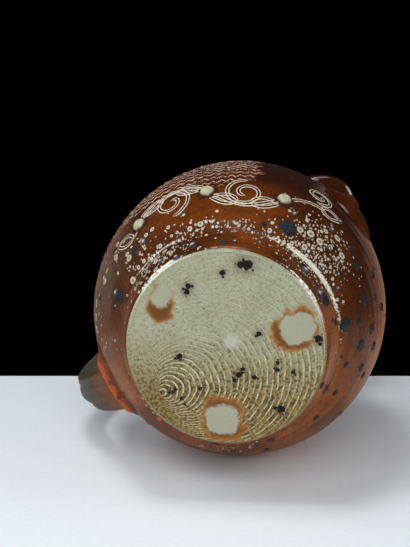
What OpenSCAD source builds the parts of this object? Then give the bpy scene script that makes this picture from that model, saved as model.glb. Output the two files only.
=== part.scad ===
// Stoneware face jug: a thrown round body on a cut base, a neck with a pulled lip,
// a strap handle luted on at two collars, and a face of applied clay pieces.
// Millimetres, +Z up, origin at the middle of the base, lip and face towards -Y.

/* [Body] */
// Diameter of the flat underside
base_diameter = 118; // [104:1:126]
// Bevel turned on the lower edge
base_bevel = 1.5; // [0.5:0.1:3]
// Height of the foot band, up to the turned groove
foot_height = 20; // [14:1:26]
// How far the foot band spreads on the radius
foot_spread = 6; // [2:0.5:9]
// Depth of the groove above the foot band
groove_depth = 0.9; // [0.4:0.1:1.6]
// Half the height of the groove
groove_half = 1.6; // [0.8:0.1:2.4]
// Widest diameter of the belly
belly_diameter = 189; // [174:1:200]
// Height of the widest place
belly_height = 98; // [90:1:106]
// How fast the belly fills out above the groove
belly_fullness = 2.15; // [1.8:0.05:2.4]
// How high the shoulder stays full
shoulder_fullness = 1.5; // [1.3:0.05:1.7]
// Thickness of the thrown wall
wall_thickness = 6.5; // [5:0.25:8]
// Thickness of the floor
floor_thickness = 9; // [7:0.5:12]
// Rounding between floor and wall, inside
floor_rounding = 12; // [6:1:16]

/* [Neck] */
// Narrowest diameter of the neck
neck_diameter = 106; // [96:1:114]
// Height of the narrowest place
neck_height = 208; // [202:1:214]
// Height where the neck joins the body
neck_joint_height = 190; // [184:1:192]
// Overall height to the rim
jug_height = 236; // [230:1:248]
// How far the rim opens out on the radius
rim_spread = 3.5; // [1:0.5:6]
// How far the lip is pulled out past the rim
lip_pull = 40; // [24:1:44]
// Half angle that the lip takes up
lip_half_angle = 27; // [20:1:32]
// How far the throat is pressed in beside the lip
lip_pinch = 3; // [0:0.5:5]
// How far the tip of the lip dips
lip_dip = 3; // [0:0.5:6]
// How far below the narrowest place the pull of the lip begins
lip_root_drop = 18; // [8:1:18]

/* [Handle] */
// Turn from the lip to the handle, round the jug
handle_turn = 190; // [175:1:195]
// Distance from the jug's axis to the strap's middle at its widest
handle_reach = 125; // [118:1:134]
// Height where the strap is widest
handle_reach_height = 132; // [124:1:140]
// Height of the lower root on the wall
lower_root_height = 64; // [58:1:68]
// Angle above level at which the strap leaves the lower root
lower_root_angle = 36; // [20:1:48]
// Height of the upper root on the neck
upper_root_height = 211; // [207:1:214]
// How far the strap's line runs straight out of the lower root
lower_root_arm = 16; // [10:1:22]
// How far the strap's line rises straight into its widest place
reach_arm_low = 34; // [26:1:40]
// How far the strap's line rises straight out of its widest place
reach_arm_high = 40; // [32:1:46]
// How far the strap's line runs out from the upper root
upper_root_arm = 38; // [32:1:44]
// How far the strap's line arches above the upper root
upper_root_arch = 6; // [3:0.5:9]
// Width of the strap at its middle
strap_width = 25; // [20:1:32]
// Extra width of the strap at its roots
strap_spread = 5; // [2:0.5:8]
// Thickness of the strap
strap_thickness = 9; // [7:0.5:11]
// Height of the rib down the strap's back
strap_rib = 2; // [0.5:0.25:3]
// Width of clay smeared round the strap's roots
collar_reach = 9; // [6:0.5:11]
// Height of the collars beside the strap
collar_height = 4; // [2.5:0.5:5]
// Angle round the lower root that its crescent collar takes up
crescent_angle = 184; // [160:2:184]
// Share by which the crescent reaches lower than a round collar
crescent_drop = 0.5; // [0.2:0.05:0.7]

/* [Face] */
// Height of the eyes
eye_height = 157; // [154:1:160]
// Distance from the centre line to the middle of an eye
eye_offset = 19; // [18.5:0.5:21]
// Diameter of the eyeballs
eye_diameter = 19; // [16:0.5:20]
// Depth of the eyeball's middle below the wall
eye_depth = 2; // [1:0.25:3]
// Thickness of the eyelids
lid_thickness = 1.8; // [1.2:0.1:2.2]
// Angle of the upper lid above the line of sight
upper_lid_angle = 20; // [8:1:30]
// Angle of the lower lid below the line of sight
lower_lid_angle = 26; // [14:1:36]
// Height of the brows at their inner end
brow_height = 170; // [169:1:172]
// Length of a brow, along the wall
brow_length = 29; // [24:1:32]
// Width of a brow at its thickest
brow_width = 7; // [5:0.5:8]
// How far the brows stand out
brow_rise = 5.5; // [3:0.5:8]
// Height of the underside of the nose
nose_base_height = 134; // [132:1:138]
// Length of the nose
nose_length = 32; // [28:1:34]
// Width of the nose at its wings
nose_width = 26; // [20:1:30]
// Width of the bridge of the nose
bridge_width = 12; // [9:0.5:12.5]
// How far the tip of the nose stands out
nose_rise = 10.5; // [7:0.5:13]
// Height of the line between the lips
mouth_height = 121.5; // [120:0.5:124]
// Width of the mouth
mouth_width = 40; // [32:1:46]
// How far the lips stand out
lip_rise = 4.5; // [2.5:0.5:6]
// Height of the upper lip at its middle
upper_lip_height = 5.8; // [4.6:0.2:6.6]
// Height of the lower lip at its middle
lower_lip_height = 6.2; // [5:0.2:7.2]
// Height of a lip at the corner of the mouth
lip_end_height = 1.4; // [1:0.1:2]
// Space between the lips at the corners
mouth_parting = 0.4; // [0.3:0.1:0.8]
// Lift of the upper lip's lower edge along the mouth
upper_lip_lift = 0.4; // [0.3:0.1:0.9]
// Drop of the lower lip's upper edge along the mouth
lower_lip_drop = 0.7; // [0.6:0.1:1.2]
// Dip in the middle of the upper lip
bow_dip = 0.8; // [0.4:0.1:1]
// Height of the middle of the chin
chin_height = 101; // [96:0.5:102]
// Width of the chin pad
chin_width = 44; // [34:1:54]
// Height of the chin pad from edge to edge
chin_span = 20; // [15:0.5:21]
// How far the chin stands out
chin_rise = 5.5; // [3:0.5:8]
// How far the ends of the chin pad lift
chin_bow = 3; // [1:0.5:4]
// Height of the chin pad at its ends
chin_end_height = 2; // [1.4:0.2:3]

/* [Bosses] */
// Height of the round bosses on the side
boss_height = 50; // [43:1:57]
// Diameter of a boss where it meets the wall
boss_diameter = 14; // [10:0.5:18]
// How far a boss stands out
boss_rise = 3.5; // [2:0.25:5]
// Diameter of the thumb dimple in a boss
dimple_diameter = 6; // [4:0.5:8]
// Depth of the thumb dimple
dimple_depth = 1; // [0.5:0.1:1.4]
// Turn from the lip to the first boss
boss_start = 27; // [20:1:34]
// Turn from one boss to the next
boss_step = 32; // [24:1:38]

/* [Fits] */
// Clearance between an applied piece and the wall
seat_gap = 0.1; // [0.05:0.05:0.25]
// Least thickness at the edge of an applied piece
feather_edge = 0.6; // [0.4:0.1:1]
// Room between the strap and its collars
collar_gap = 0.9; // [0.6:0.1:1.4]

/* [Hidden] */

$fn = 96;
base_radius = base_diameter / 2;
groove_radius = base_radius + foot_spread;
belly_radius = belly_diameter / 2;
neck_radius = neck_diameter / 2;
neck_wall = wall_thickness - 1;
body_steps = 36;
glaze = "#8a4a22";
ash_glaze = "#8d8a6c";
bare_clay = "#b5652f";
pale_clay = "#d8d2bd";

// Outer radius of the jug at a height, without the lip.
function foot_radius(z) =
    z < base_bevel
    ? base_radius - base_bevel + z
    : base_radius + foot_spread * (z - base_bevel) / (foot_height - base_bevel);

function belly_curve(z) =
    groove_radius + (belly_radius - groove_radius)
    * (1 - pow((belly_height - z) / (belly_height - foot_height), belly_fullness));

function shoulder_curve(z) =
    neck_radius + (belly_radius - neck_radius)
    * (0.5 + 0.5 * cos(180 * pow((z - belly_height) / (neck_height - belly_height), shoulder_fullness)));

function rim_curve(z) =
    neck_radius + rim_spread * pow((z - neck_height) / (jug_height - neck_height), 2);

function wall_radius(z) =
    z <= foot_height ? foot_radius(z)
    : z <= belly_height ? belly_curve(z)
    : z <= neck_height ? shoulder_curve(z)
    : rim_curve(z);

function wall_slope(z) = wall_radius(z + 0.2) / 0.4 - wall_radius(z - 0.2) / 0.4;

// A point above the wall: along is measured round the wall from the turn given, lift along its normal.
function on_wall(turn, along, z, lift) =
    let (
        r = wall_radius(z),
        a = turn + along / r * 180 / PI,
        m = wall_slope(z),
        k = lift / sqrt(1 + m * m)
    )
    [(r + k) * sin(a), -(r + k) * cos(a), z - m * k];

function halves(q) = [[q[0], q[1], q[2]], [q[0], q[2], q[3]]];

// Outline of the thrown wall from the base to the neck joint.
function body_outline() = concat(
    [
        [base_radius - base_bevel, 0],
        [base_radius, base_bevel],
        [foot_radius(foot_height - groove_half), foot_height - groove_half],
        [groove_radius - groove_depth, foot_height],
        [belly_curve(foot_height + groove_half), foot_height + groove_half]
    ],
    [
        for (i = [2 : body_steps])
        let (z = foot_height + (neck_joint_height - foot_height) * i / body_steps)
        [wall_radius(z), z]
    ]
);

// Outline of the hollow, from the neck joint down to the middle of the floor.
function hollow_outline() =
    let (
        round_top = floor_thickness + floor_rounding,
        side_radius = wall_radius(round_top) - wall_thickness
    )
    concat(
        [
            for (i = [body_steps : -1 : 0])
            let (z = round_top + (neck_joint_height - round_top) * i / body_steps)
            [wall_radius(z) - (i == body_steps ? neck_wall : wall_thickness), z]
        ],
        [
            for (a = [15 : 15 : 90])
            [side_radius - floor_rounding * (1 - cos(a)), round_top - floor_rounding * sin(a)]
        ],
        [[0, floor_thickness]]
    );

// The outside of the wall from base to rim, filled, to cut what is laid on it.
module wall_solid() {
    upper_wall = [
        for (i = [1 : body_steps])
        let (z = neck_joint_height + (jug_height - neck_joint_height) * i / body_steps)
        [wall_radius(z), z]
    ];
    rotate_extrude($fn = 240)
        polygon(concat([[0, 0]], body_outline(), upper_wall, [[0, jug_height]]));
}

// A ridge of clay laid along a line on the front wall, with a width and a rise that change on the way.
module wall_ridge(line, half, rise, fullness) {
    steps = 26;
    parts = 10;
    function way(t) =
        let (d = line(t + 0.01) - line(t - 0.01))
        d / norm(d);
    function at(i, j, top) =
        let (
            t = i / steps,
            s = 2 * j / parts - 1,
            d = way(t),
            p = line(t) + s * half(t) * [-d[1], d[0]]
        )
        on_wall(0, p[0], p[1], top ? feather_edge + rise(t) * pow(1 - s * s, fullness) : seat_gap);
    row = parts + 1;
    count = (steps + 1) * row;
    function index(i, j, side) = side * count + i * row + j;
    skin = [for (i = [0 : steps], j = [0 : parts]) at(i, j, true)];
    seat = [for (i = [0 : steps], j = [0 : parts]) at(i, j, false)];
    top_faces = [
        for (i = [0 : steps - 1], j = [0 : parts - 1])
        each halves([index(i, j, 0), index(i, j + 1, 0), index(i + 1, j + 1, 0), index(i + 1, j, 0)])
    ];
    seat_faces = [
        for (i = [0 : steps - 1], j = [0 : parts - 1])
        each halves([index(i, j, 1), index(i + 1, j, 1), index(i + 1, j + 1, 1), index(i, j + 1, 1)])
    ];
    long_sides = [
        for (i = [0 : steps - 1])
        each concat(
            halves([
                index(i, parts, 0), index(i, parts, 1), index(i + 1, parts, 1), index(i + 1, parts, 0)
            ]),
            halves([index(i, 0, 0), index(i + 1, 0, 0), index(i + 1, 0, 1), index(i, 0, 1)])
        )
    ];
    ends = [
        for (j = [0 : parts - 1])
        each concat(
            halves([
                index(steps, j, 0), index(steps, j + 1, 0), index(steps, j + 1, 1), index(steps, j, 1)
            ]),
            halves([index(0, j, 0), index(0, j, 1), index(0, j + 1, 1), index(0, j + 1, 0)])
        )
    ];
    polyhedron(concat(skin, seat), concat(top_faces, seat_faces, long_sides, ends));
}

module thrown_body() {
    color(glaze)
        rotate_extrude()
            polygon(concat([[0, 0]], body_outline(), hollow_outline()));
}

// Neck and lip: the wall's outline is lofted round the axis and drawn out towards the front.
module neck_with_lip() {
    sectors = 72;
    rows = 10;
    rim_rows = 4;
    neck_length = jug_height - neck_joint_height;
    pull_start = max(neck_joint_height, neck_height - lip_root_drop);
    rim_radius = neck_wall / 2;
    function swell(a, width) = exp(-pow(a / width, 2));
    function turned(j) =
        let (a = 360 * j / sectors)
        a > 180 ? a - 360 : a;
    function pull(z) = pow(max(z - pull_start, 0) / (jug_height - pull_start), 2);
    function drawn(a, z) =
        pull(z) * (
            lip_pull * swell(a, lip_half_angle)
            - lip_pinch * (swell(a - 2 * lip_half_angle, 20) + swell(a + 2 * lip_half_angle, 20))
        );
    function outer_row(i) =
        let (z = neck_joint_height + (neck_length - rim_radius) * i / rows)
        [wall_radius(z), z];
    function inner_row(i) =
        let (z = neck_joint_height + (neck_length - rim_radius) * i / rows)
        [wall_radius(z) - neck_wall, z];
    function rim_row(i) =
        let (
            a = 180 * i / (rim_rows + 1),
            z = jug_height - rim_radius
        )
        [wall_radius(z) - rim_radius + rim_radius * cos(a), z + rim_radius * sin(a)];
    outline = concat(
        [for (i = [0 : rows]) outer_row(i)],
        [for (i = [1 : rim_rows]) rim_row(i)],
        [for (i = [rows : -1 : 0]) inner_row(i)]
    );
    count = len(outline);
    points = [
        for (p = outline, j = [0 : sectors - 1])
        let (
            a = turned(j),
            r = p[0] + drawn(a, p[1]),
            z = p[1] - pull(p[1]) * lip_dip * swell(a, lip_half_angle)
        )
        [r * sin(a), -r * cos(a), z]
    ];
    faces = [
        for (i = [0 : count - 1], j = [0 : sectors - 1])
        let (
            n = (i + 1) % count,
            m = (j + 1) % sectors
        )
        each halves([i * sectors + j, n * sectors + j, n * sectors + m, i * sectors + m])
    ];
    color(glaze)
        polyhedron(points, faces);
}

// Spine of the strap as two joined cubic curves in the handle's plane, as [out, up].
lower_root = [wall_radius(lower_root_height), lower_root_height];
upper_root = [wall_radius(upper_root_height), upper_root_height];
spine_low = [
    lower_root,
    lower_root + lower_root_arm * [cos(lower_root_angle), sin(lower_root_angle)],
    [handle_reach, handle_reach_height - reach_arm_low],
    [handle_reach, handle_reach_height]
];
spine_high = [
    [handle_reach, handle_reach_height],
    [handle_reach, handle_reach_height + reach_arm_high],
    upper_root + [upper_root_arm, upper_root_arch],
    upper_root
];

function cubic(p, t) =
    pow(1 - t, 3) * p[0]
    + 3 * pow(1 - t, 2) * t * p[1]
    + 3 * (1 - t) * pow(t, 2) * p[2]
    + pow(t, 3) * p[3];

function cubic_way(p, t) =
    let (
        d = pow(1 - t, 2) * (p[1] - p[0])
            + 2 * (1 - t) * t * (p[2] - p[1])
            + pow(t, 2) * (p[3] - p[2])
    )
    d / norm(d);

function spine(t) = t <= 1 ? cubic(spine_low, t) : cubic(spine_high, t - 1);
function spine_way(t) = t <= 1 ? cubic_way(spine_low, t) : cubic_way(spine_high, t - 1);

strap_sides = 28;
function strap_half(t) = (strap_width + strap_spread * pow(t - 1, 2)) / 2;
function signed_pow(v, e) = sign(v) * pow(abs(v), e);

// Section of the strap at an angle round it: [across, outwards], with a rib on its back.
function strap_section(t, a, grow) =
    let (
        x = (strap_half(t) + grow) * signed_pow(cos(a), 0.8),
        s = (strap_thickness / 2 + grow) * signed_pow(sin(a), 0.7),
        peak = strap_rib * exp(-pow(x / (0.22 * strap_width), 2)) * (1 - pow(t - 1, 2)),
        rib = sin(a) > 0 ? peak * sin(a) : 0
    )
    [x, s + rib];

module handle_strap() {
    steps = 34;
    cap_rings = 3;
    function free_point(t, j) =
        let (
            q = strap_section(t, 360 * j / strap_sides, 0),
            p = spine(t),
            d = spine_way(t)
        )
        [q[0], p[0] + q[1] * d[1], p[1] - q[1] * d[0]];
    function seated_point(t, j, k) =
        let (
            q = k * strap_section(t, 360 * j / strap_sides, 0),
            p = spine(t),
            d = spine_way(t),
            z = p[1] - q[1] * d[0],
            r = wall_radius(z) + seat_gap
        )
        [q[0], sqrt(r * r - q[0] * q[0]), z];
    function ring(t) = [for (j = [0 : strap_sides - 1]) free_point(t, j)];
    function cap(t, k) = [for (j = [0 : strap_sides - 1]) seated_point(t, j, k)];
    rings = concat(
        [for (i = [1 : cap_rings]) cap(0, i / cap_rings)],
        [for (i = [1 : steps - 1]) ring(2 * i / steps)],
        [for (i = [cap_rings : -1 : 1]) cap(2, i / cap_rings)]
    );
    count = len(rings);
    last = 1 + count * strap_sides;
    points = concat(
        [seated_point(0, 0, 0)],
        [for (r = rings) each r],
        [seated_point(2, 0, 0)]
    );
    function index(i, j) = 1 + i * strap_sides + j % strap_sides;
    faces = concat(
        [for (j = [0 : strap_sides - 1]) [0, index(0, j), index(0, j + 1)]],
        [
            for (i = [0 : count - 2], j = [0 : strap_sides - 1])
            each halves([index(i, j), index(i + 1, j), index(i + 1, j + 1), index(i, j + 1)])
        ],
        [for (j = [0 : strap_sides - 1]) [last, index(count - 1, j + 1), index(count - 1, j)]]
    );
    color(ash_glaze)
        rotate([0, 0, handle_turn - 180])
            polyhedron(points, faces);
}

// A collar of clay smeared round one root of the strap, as a full ring or as a crescent under it.
module root_collar(t, drop, start, sweep) {
    rings = 6;
    sectors = 28;
    open = sweep < 360;
    columns = open ? sectors + 1 : sectors;
    tilt = abs(spine_way(t)[0]);
    z0 = spine(t)[1];
    half_width = strap_half(t) + collar_gap + collar_reach;
    half_height = strap_thickness / 2 + collar_gap + collar_reach;
    function inner(a) =
        let (q = strap_section(t, -a, collar_gap))
        [q[0], -q[1] * tilt];
    function outer(a) = [half_width * cos(a), half_height * sin(a) * (sin(a) < 0 ? 1 + drop : 1)];
    function at(i, j, top) =
        let (
            k = i / rings,
            a = start + sweep * j / sectors,
            p = (1 - k) * inner(a) + k * outer(a),
            h = feather_edge + collar_height * pow(cos(90 * k), 1.3)
        )
        on_wall(handle_turn, p[0], z0 + p[1], top ? h : seat_gap);
    count = (rings + 1) * columns;
    function index(i, j, side) = side * count + i * columns + j % columns;
    points = [
        for (side = [0, 1], i = [0 : rings], j = [0 : columns - 1])
        at(i, j, side == 0)
    ];
    skins = [
        for (i = [0 : rings - 1], j = [0 : sectors - 1])
        each concat(
            halves([
                index(i, j, 0), index(i, j + 1, 0), index(i + 1, j + 1, 0), index(i + 1, j, 0)
            ]),
            halves([
                index(i, j, 1), index(i + 1, j, 1), index(i + 1, j + 1, 1), index(i, j + 1, 1)
            ])
        )
    ];
    edges = [
        for (j = [0 : sectors - 1])
        each concat(
            halves([
                index(rings, j, 0), index(rings, j + 1, 0), index(rings, j + 1, 1), index(rings, j, 1)
            ]),
            halves([index(0, j, 0), index(0, j, 1), index(0, j + 1, 1), index(0, j + 1, 0)])
        )
    ];
    ends = [
        for (i = [0 : rings - 1])
        each concat(
            halves([index(i, 0, 0), index(i + 1, 0, 0), index(i + 1, 0, 1), index(i, 0, 1)]),
            halves([
                index(i, sectors, 0), index(i, sectors, 1), index(i + 1, sectors, 1), index(i + 1, sectors, 0)
            ])
        )
    ];
    polyhedron(points, concat(skins, edges, open ? ends : []));
}

module handle_upper_collar() {
    color(ash_glaze)
        root_collar(2, 0, 0, 360);
}

module handle_lower_collar() {
    color(bare_clay)
        root_collar(0, crescent_drop, 270 - crescent_angle / 2, crescent_angle);
}

module chin() {
    color(glaze)
        wall_ridge(
            function (t) [chin_width * (t - 0.5), chin_height + chin_bow * (1 - sin(180 * t))],
            function (t)
                (chin_end_height + (chin_span - chin_end_height) * pow(max(sin(180 * t), 0), 0.6)) / 2,
            function (t) chin_rise * pow(max(sin(180 * t), 0), 0.8),
            0.8
        );
}

// Half the height of a lip along the mouth, and the distance of its middle from the parting.
function lip_half(t, height) = (lip_end_height + (height - lip_end_height) * sin(180 * t)) / 2;
function lip_middle(t, height, away) =
    mouth_parting / 2 + away * sin(180 * t) + lip_half(t, height);

module upper_lip() {
    color(glaze)
        wall_ridge(
            function (t) [
                mouth_width * (t - 0.5),
                mouth_height + lip_middle(t, upper_lip_height, upper_lip_lift)
                - bow_dip * exp(-pow((t - 0.5) / 0.08, 2))
            ],
            function (t) lip_half(t, upper_lip_height),
            function (t) lip_rise * pow(max(sin(180 * t), 0), 0.7),
            0.6
        );
}

module lower_lip() {
    color(glaze)
        wall_ridge(
            function (t) [
                mouth_width * (t - 0.5),
                mouth_height - lip_middle(t, lower_lip_height, lower_lip_drop)
            ],
            function (t) lip_half(t, lower_lip_height),
            function (t) lip_rise * pow(max(sin(180 * t), 0), 0.7),
            0.6
        );
}

module nose() {
    color(glaze)
        wall_ridge(
            function (t) [0, nose_base_height + nose_length * (1 - t)],
            function (t)
                (bridge_width + (nose_width - bridge_width) * pow(sin(90 * t), 2.2)) / 2,
            function (t)
                (0.28 + 0.72 * pow(min(t / 0.8, 1), 1.2)) * nose_rise
                * (t < 0.8 ? 1 : 0.12 + 0.88 * cos(90 * (t - 0.8) / 0.2)),
            0.8
        );
}

// Places what follows at an eye: X across, Y up the wall, Z out of it.
module at_eye(side) {
    r = wall_radius(eye_height);
    rotate([0, 0, side * eye_offset / r * 180 / PI])
        translate([0, -r, eye_height])
            rotate([90 + atan(wall_slope(eye_height)), 0, 0])
                translate([0, 0, -eye_depth])
                    children();
}

module eyeball(side) {
    color(pale_clay)
        difference() {
            at_eye(side)
                sphere(d = eye_diameter);
            wall_solid();
        }
}

// An eyelid is a shell over the eyeball, cut along a plane through the corners of the eye.
module eyelid(side, angle, upper) {
    shell = eye_diameter / 2 + lid_thickness;
    color(glaze)
        difference() {
            at_eye(side)
                difference() {
                    sphere(r = shell);
                    sphere(d = eye_diameter + 2 * seat_gap);
                    rotate([upper ? -angle : angle, 0, 0])
                        translate([-2 * shell, upper ? -4 * shell : -seat_gap, -2 * shell])
                            cube(4 * shell);
                }
            wall_solid();
        }
}

module eyeball_left() { eyeball(1); }
module eyeball_right() { eyeball(-1); }
module lower_lid_left() { eyelid(1, lower_lid_angle, false); }
module lower_lid_right() { eyelid(-1, lower_lid_angle, false); }
module upper_lid_left() { eyelid(1, upper_lid_angle, true); }
module upper_lid_right() { eyelid(-1, upper_lid_angle, true); }

module brow(side) {
    color(glaze)
        wall_ridge(
            function (t) [
                side * (eye_offset - 0.36 * brow_length + brow_length * (side > 0 ? t : 1 - t)),
                brow_height + 4.5 * sin(150 * (side > 0 ? t : 1 - t) + 10)
            ],
            function (t)
                let (k = side > 0 ? t : 1 - t)
                brow_width / 2 * (0.35 + 0.65 * pow(max(sin(180 * (0.15 + 0.8 * k)), 0), 0.6)),
            function (t)
                let (k = side > 0 ? t : 1 - t)
                brow_rise * pow(max(sin(180 * (0.1 + 0.85 * k)), 0), 0.6),
            0.7
        );
}

module brow_left() { brow(1); }
module brow_right() { brow(-1); }

// A round boss of clay pressed on the side wall, turned about the wall's normal, with a thumb dimple.
module boss(number) {
    r = wall_radius(boss_height);
    half = boss_diameter / 2;
    lip = dimple_diameter / 2;
    root = 4;
    outline = concat(
        [[0, -root], [half, -root]],
        [
            for (a = [0 : 15 : 90])
            [lip + (half - lip) * cos(a), feather_edge + (boss_rise - feather_edge) * sin(a)]
        ],
        [
            for (a = [22.5 : 22.5 : 90])
            [lip * cos(a), boss_rise - dimple_depth * sin(a)]
        ]
    );
    color(pale_clay)
        difference() {
            rotate([0, 0, -boss_start - boss_step * number])
                translate([0, -r, boss_height])
                    rotate([90 + atan(wall_slope(boss_height)), 0, 0])
                        rotate_extrude()
                            polygon(outline);
            wall_solid();
        }
}

module boss_front() { boss(0); }
module boss_middle() { boss(1); }
module boss_rear() { boss(2); }

thrown_body();
neck_with_lip();
handle_strap();
handle_upper_collar();
handle_lower_collar();
chin();
lower_lip();
upper_lip();
nose();
eyeball_left();
eyeball_right();
lower_lid_left();
lower_lid_right();
upper_lid_left();
upper_lid_right();
brow_left();
brow_right();
boss_front();
boss_middle();
boss_rear();
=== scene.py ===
import math
from functools import partial

import bmesh
import bpy
from mathutils import Euler, Matrix, Vector, noise


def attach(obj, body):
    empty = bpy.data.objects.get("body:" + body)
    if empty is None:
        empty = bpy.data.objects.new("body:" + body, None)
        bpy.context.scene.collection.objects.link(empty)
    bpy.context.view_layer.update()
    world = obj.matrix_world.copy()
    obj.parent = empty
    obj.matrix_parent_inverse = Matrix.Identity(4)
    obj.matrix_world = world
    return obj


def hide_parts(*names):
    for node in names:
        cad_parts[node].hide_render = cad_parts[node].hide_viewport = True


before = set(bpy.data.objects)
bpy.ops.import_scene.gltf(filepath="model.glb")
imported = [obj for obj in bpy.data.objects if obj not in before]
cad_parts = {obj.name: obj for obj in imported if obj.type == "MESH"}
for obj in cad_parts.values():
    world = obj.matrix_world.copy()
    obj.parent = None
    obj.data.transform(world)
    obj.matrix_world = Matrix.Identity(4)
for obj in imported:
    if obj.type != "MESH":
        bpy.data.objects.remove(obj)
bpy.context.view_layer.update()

bpy.context.scene.view_settings.view_transform = "Standard"

# Thrown wall
# The jug's body and neck are one stoneware wall, thrown on a wheel, cut off with a twisted wire and
# salt glazed. A profile is spun round the axis; the rim is then drawn out into the lip.
MM = 0.001
BASE_RADIUS = 59.0
BASE_BEVEL = 1.5
FOOT_HEIGHT = 20.0
FOOT_SPREAD = 6.0
WORN_EDGE = 2.2
UNDER_RADIUS = BASE_RADIUS - WORN_EDGE
BELLY_RADIUS = 94.5
BELLY_HEIGHT = 98.0
BELLY_CURVE = 2.15
SHOULDER_CURVE = 1.5
NECK_RADIUS = 53.0
NECK_HEIGHT = 208.0
NECK_JOINT = 190.0
JUG_HEIGHT = 236.0
RIM_SPREAD = 3.5
RIM_CLEARANCE = 0.15
WALL = 6.5
NECK_WALL = 5.5
FLOOR = 9.0
FLOOR_ROUNDING = 12.0
LIP_PULL = 40.0
LIP_ANGLE = 27.0
LIP_PINCH = 3.0
PINCH_ANGLE = 20.0
LIP_DIP = 3.0
RING_PITCH = 7.5
RING_START = 24.0
RING_FADE = 30.0
HAIR_FRONT = 39.0
HAIR_TOP = 191.0
HAIR_HOLLOW = 0.9
OUTER_SKIN = 1.5
INNER_SKIN = 3.2
# Steps of the groove above the foot: height from the foot's top, depth into the wall.
GROOVE = (
    (-2.2, 0), (-1.5, -0.35), (-0.9, -0.1), (-0.4, 0.6), (0.1, 0.9),
    (0.6, 0.6), (1.1, -0.05), (1.7, -0.3), (2.3, 0),
)
UNDER_RINGS = 84
FOOT_STEPS = 11
WALL_STEP = 1.65
INNER_STEPS = 36
SECTORS = 288


def bell(x, width):
    return math.exp(-((x / width) ** 2))


def smooth(low, high, x):
    k = min(max((x - low) / (high - low), 0), 1)
    return k * k * (3 - 2 * k)


def wall_radius(z):
    if z < BASE_BEVEL:
        return BASE_RADIUS - BASE_BEVEL + z
    if z <= FOOT_HEIGHT:
        return BASE_RADIUS + FOOT_SPREAD * (z - BASE_BEVEL) / (FOOT_HEIGHT - BASE_BEVEL)
    if z <= BELLY_HEIGHT:
        foot = BASE_RADIUS + FOOT_SPREAD
        fill = 1 - ((BELLY_HEIGHT - z) / (BELLY_HEIGHT - FOOT_HEIGHT)) ** BELLY_CURVE
        return foot + (BELLY_RADIUS - foot) * fill
    if z <= NECK_HEIGHT:
        fall = ((z - BELLY_HEIGHT) / (NECK_HEIGHT - BELLY_HEIGHT)) ** SHOULDER_CURVE
        return NECK_RADIUS + (BELLY_RADIUS - NECK_RADIUS) * (0.5 + 0.5 * math.cos(math.pi * fall))
    return NECK_RADIUS + RIM_SPREAD * ((z - NECK_HEIGHT) / (JUG_HEIGHT - NECK_HEIGHT)) ** 2


def wall_slope(z):
    return (wall_radius(z + 0.2) - wall_radius(z - 0.2)) / 0.4


def throwing_rings(turn, z):
    # Finger ridges climb in a slow spiral and fade out towards the turned foot.
    climb = z / RING_PITCH + turn / 360
    ridge = 0.5 + 0.5 * math.cos(2 * math.pi * climb)
    uneven = noise.noise(Vector((math.sin(math.radians(turn)), math.cos(math.radians(turn)), z / 40)) * 1.3)
    fade = min(max((z - RING_START) / RING_FADE, 0), 1)
    return -(0.10 + 0.16 * ridge + 0.12 * (uneven + 1) / 2) * fade


def outer_radius(turn, z):
    return wall_radius(z) + throwing_rings(turn, z)


def on_wall(turn, along, z, lift):
    # A point in millimetres: along runs round the wall from the turn, lift stands out along its normal.
    r = wall_radius(z)
    a = turn + math.degrees(along / r)
    slope = wall_slope(z)
    k = lift / math.sqrt(1 + slope * slope)
    r = outer_radius(a, z) + k
    a = math.radians(a)
    return Vector((r * math.sin(a), -r * math.cos(a), z - slope * k))


def hair_edges(side, turn, z):
    # The combed hair frames the face and hangs lower on the side that carries the ornament: the turns of
    # its front and back edges, then the heights of its lower and upper edges.
    front = HAIR_FRONT + 5 * bell(z - 150, 25) - 25 * smooth(165, 189, z)
    front += 1.6 * math.sin(z / 2.6) + 1.2 * math.sin(z / 7)
    if side < 0:
        low = 64 - 11 * bell(turn - 58, 13) + 12 * smooth(85, 112, turn) + 26 * smooth(118, 160, turn)
        return front, 164.0, low, HAIR_TOP
    return front, 184.0, 106 + 6 * math.sin(math.radians(3 * turn)), HAIR_TOP


def hair_inside(turn, z):
    # Millimetres inside the nearer edge of the combed hair, less than nothing outside it.
    best = -99.0
    if z < 50:
        return best
    for side, t in ((-1, -turn), (1, turn), (1, turn + 360)):
        front, back, low, top = hair_edges(side, t, z)
        arc = math.radians(wall_radius(z))
        best = max(best, min((t - front) * arc, (back - t) * arc, z - low, top - z))
    return best


# Marks on the underside, in millimetres from its middle: the wire's shell, a puddle of glaze, iron spots
# with their size, and three kiln wads with their half sizes, turn and the drift of the flash round them.
SHELL_FOCUS = Vector((-4.1, 47.5))
SHELL_WAY = Vector((0.292, -0.956))
SHELL_PITCH = 4.1
SHELL_PINCH = 0.12
SHELL_RISE = 0.34
UNDER_HOLLOW = 0.12
PALE_PUDDLE = Vector((-0.5, -5.4))
BASE_SPOTS = (
    (-28, -42, 3.2), (-31, -39, 2.2), (-34, -28, 1.8), (-39, -5, 1.9), (-41, -8, 1.9), (6, -20, 1.7),
    (26, -17, 1.4), (36, -20, 1.5), (48, 0, 2.6), (17, 5, 1.9), (16, 1, 1.4), (18, 9, 1.5), (24, -1, 1.6),
    (-13, 24, 2.2), (28, 34, 1.0), (30, -44, 2.6), (29, -14, 1.5), (-1, 43, 1.0), (0, 41, 1.2),
    (0, 39, 1.2), (6, 40, 1.2), (10, 41, 0.8), (9, 28, 1.2),
)
WADS = (
    (-46.4, 8.0, 5.6, 6.4, -22.0, 3.2, 3.0),
    (18.0, -38.8, 8.6, 9.8, 24.0, 0.3, 1.2),
    (31.1, 30.3, 8.8, 9.3, 41.0, -0.3, -0.3),
)
FAR_FROM_WADS = 17.0
POLISHED_EDGE = 20.0


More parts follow.
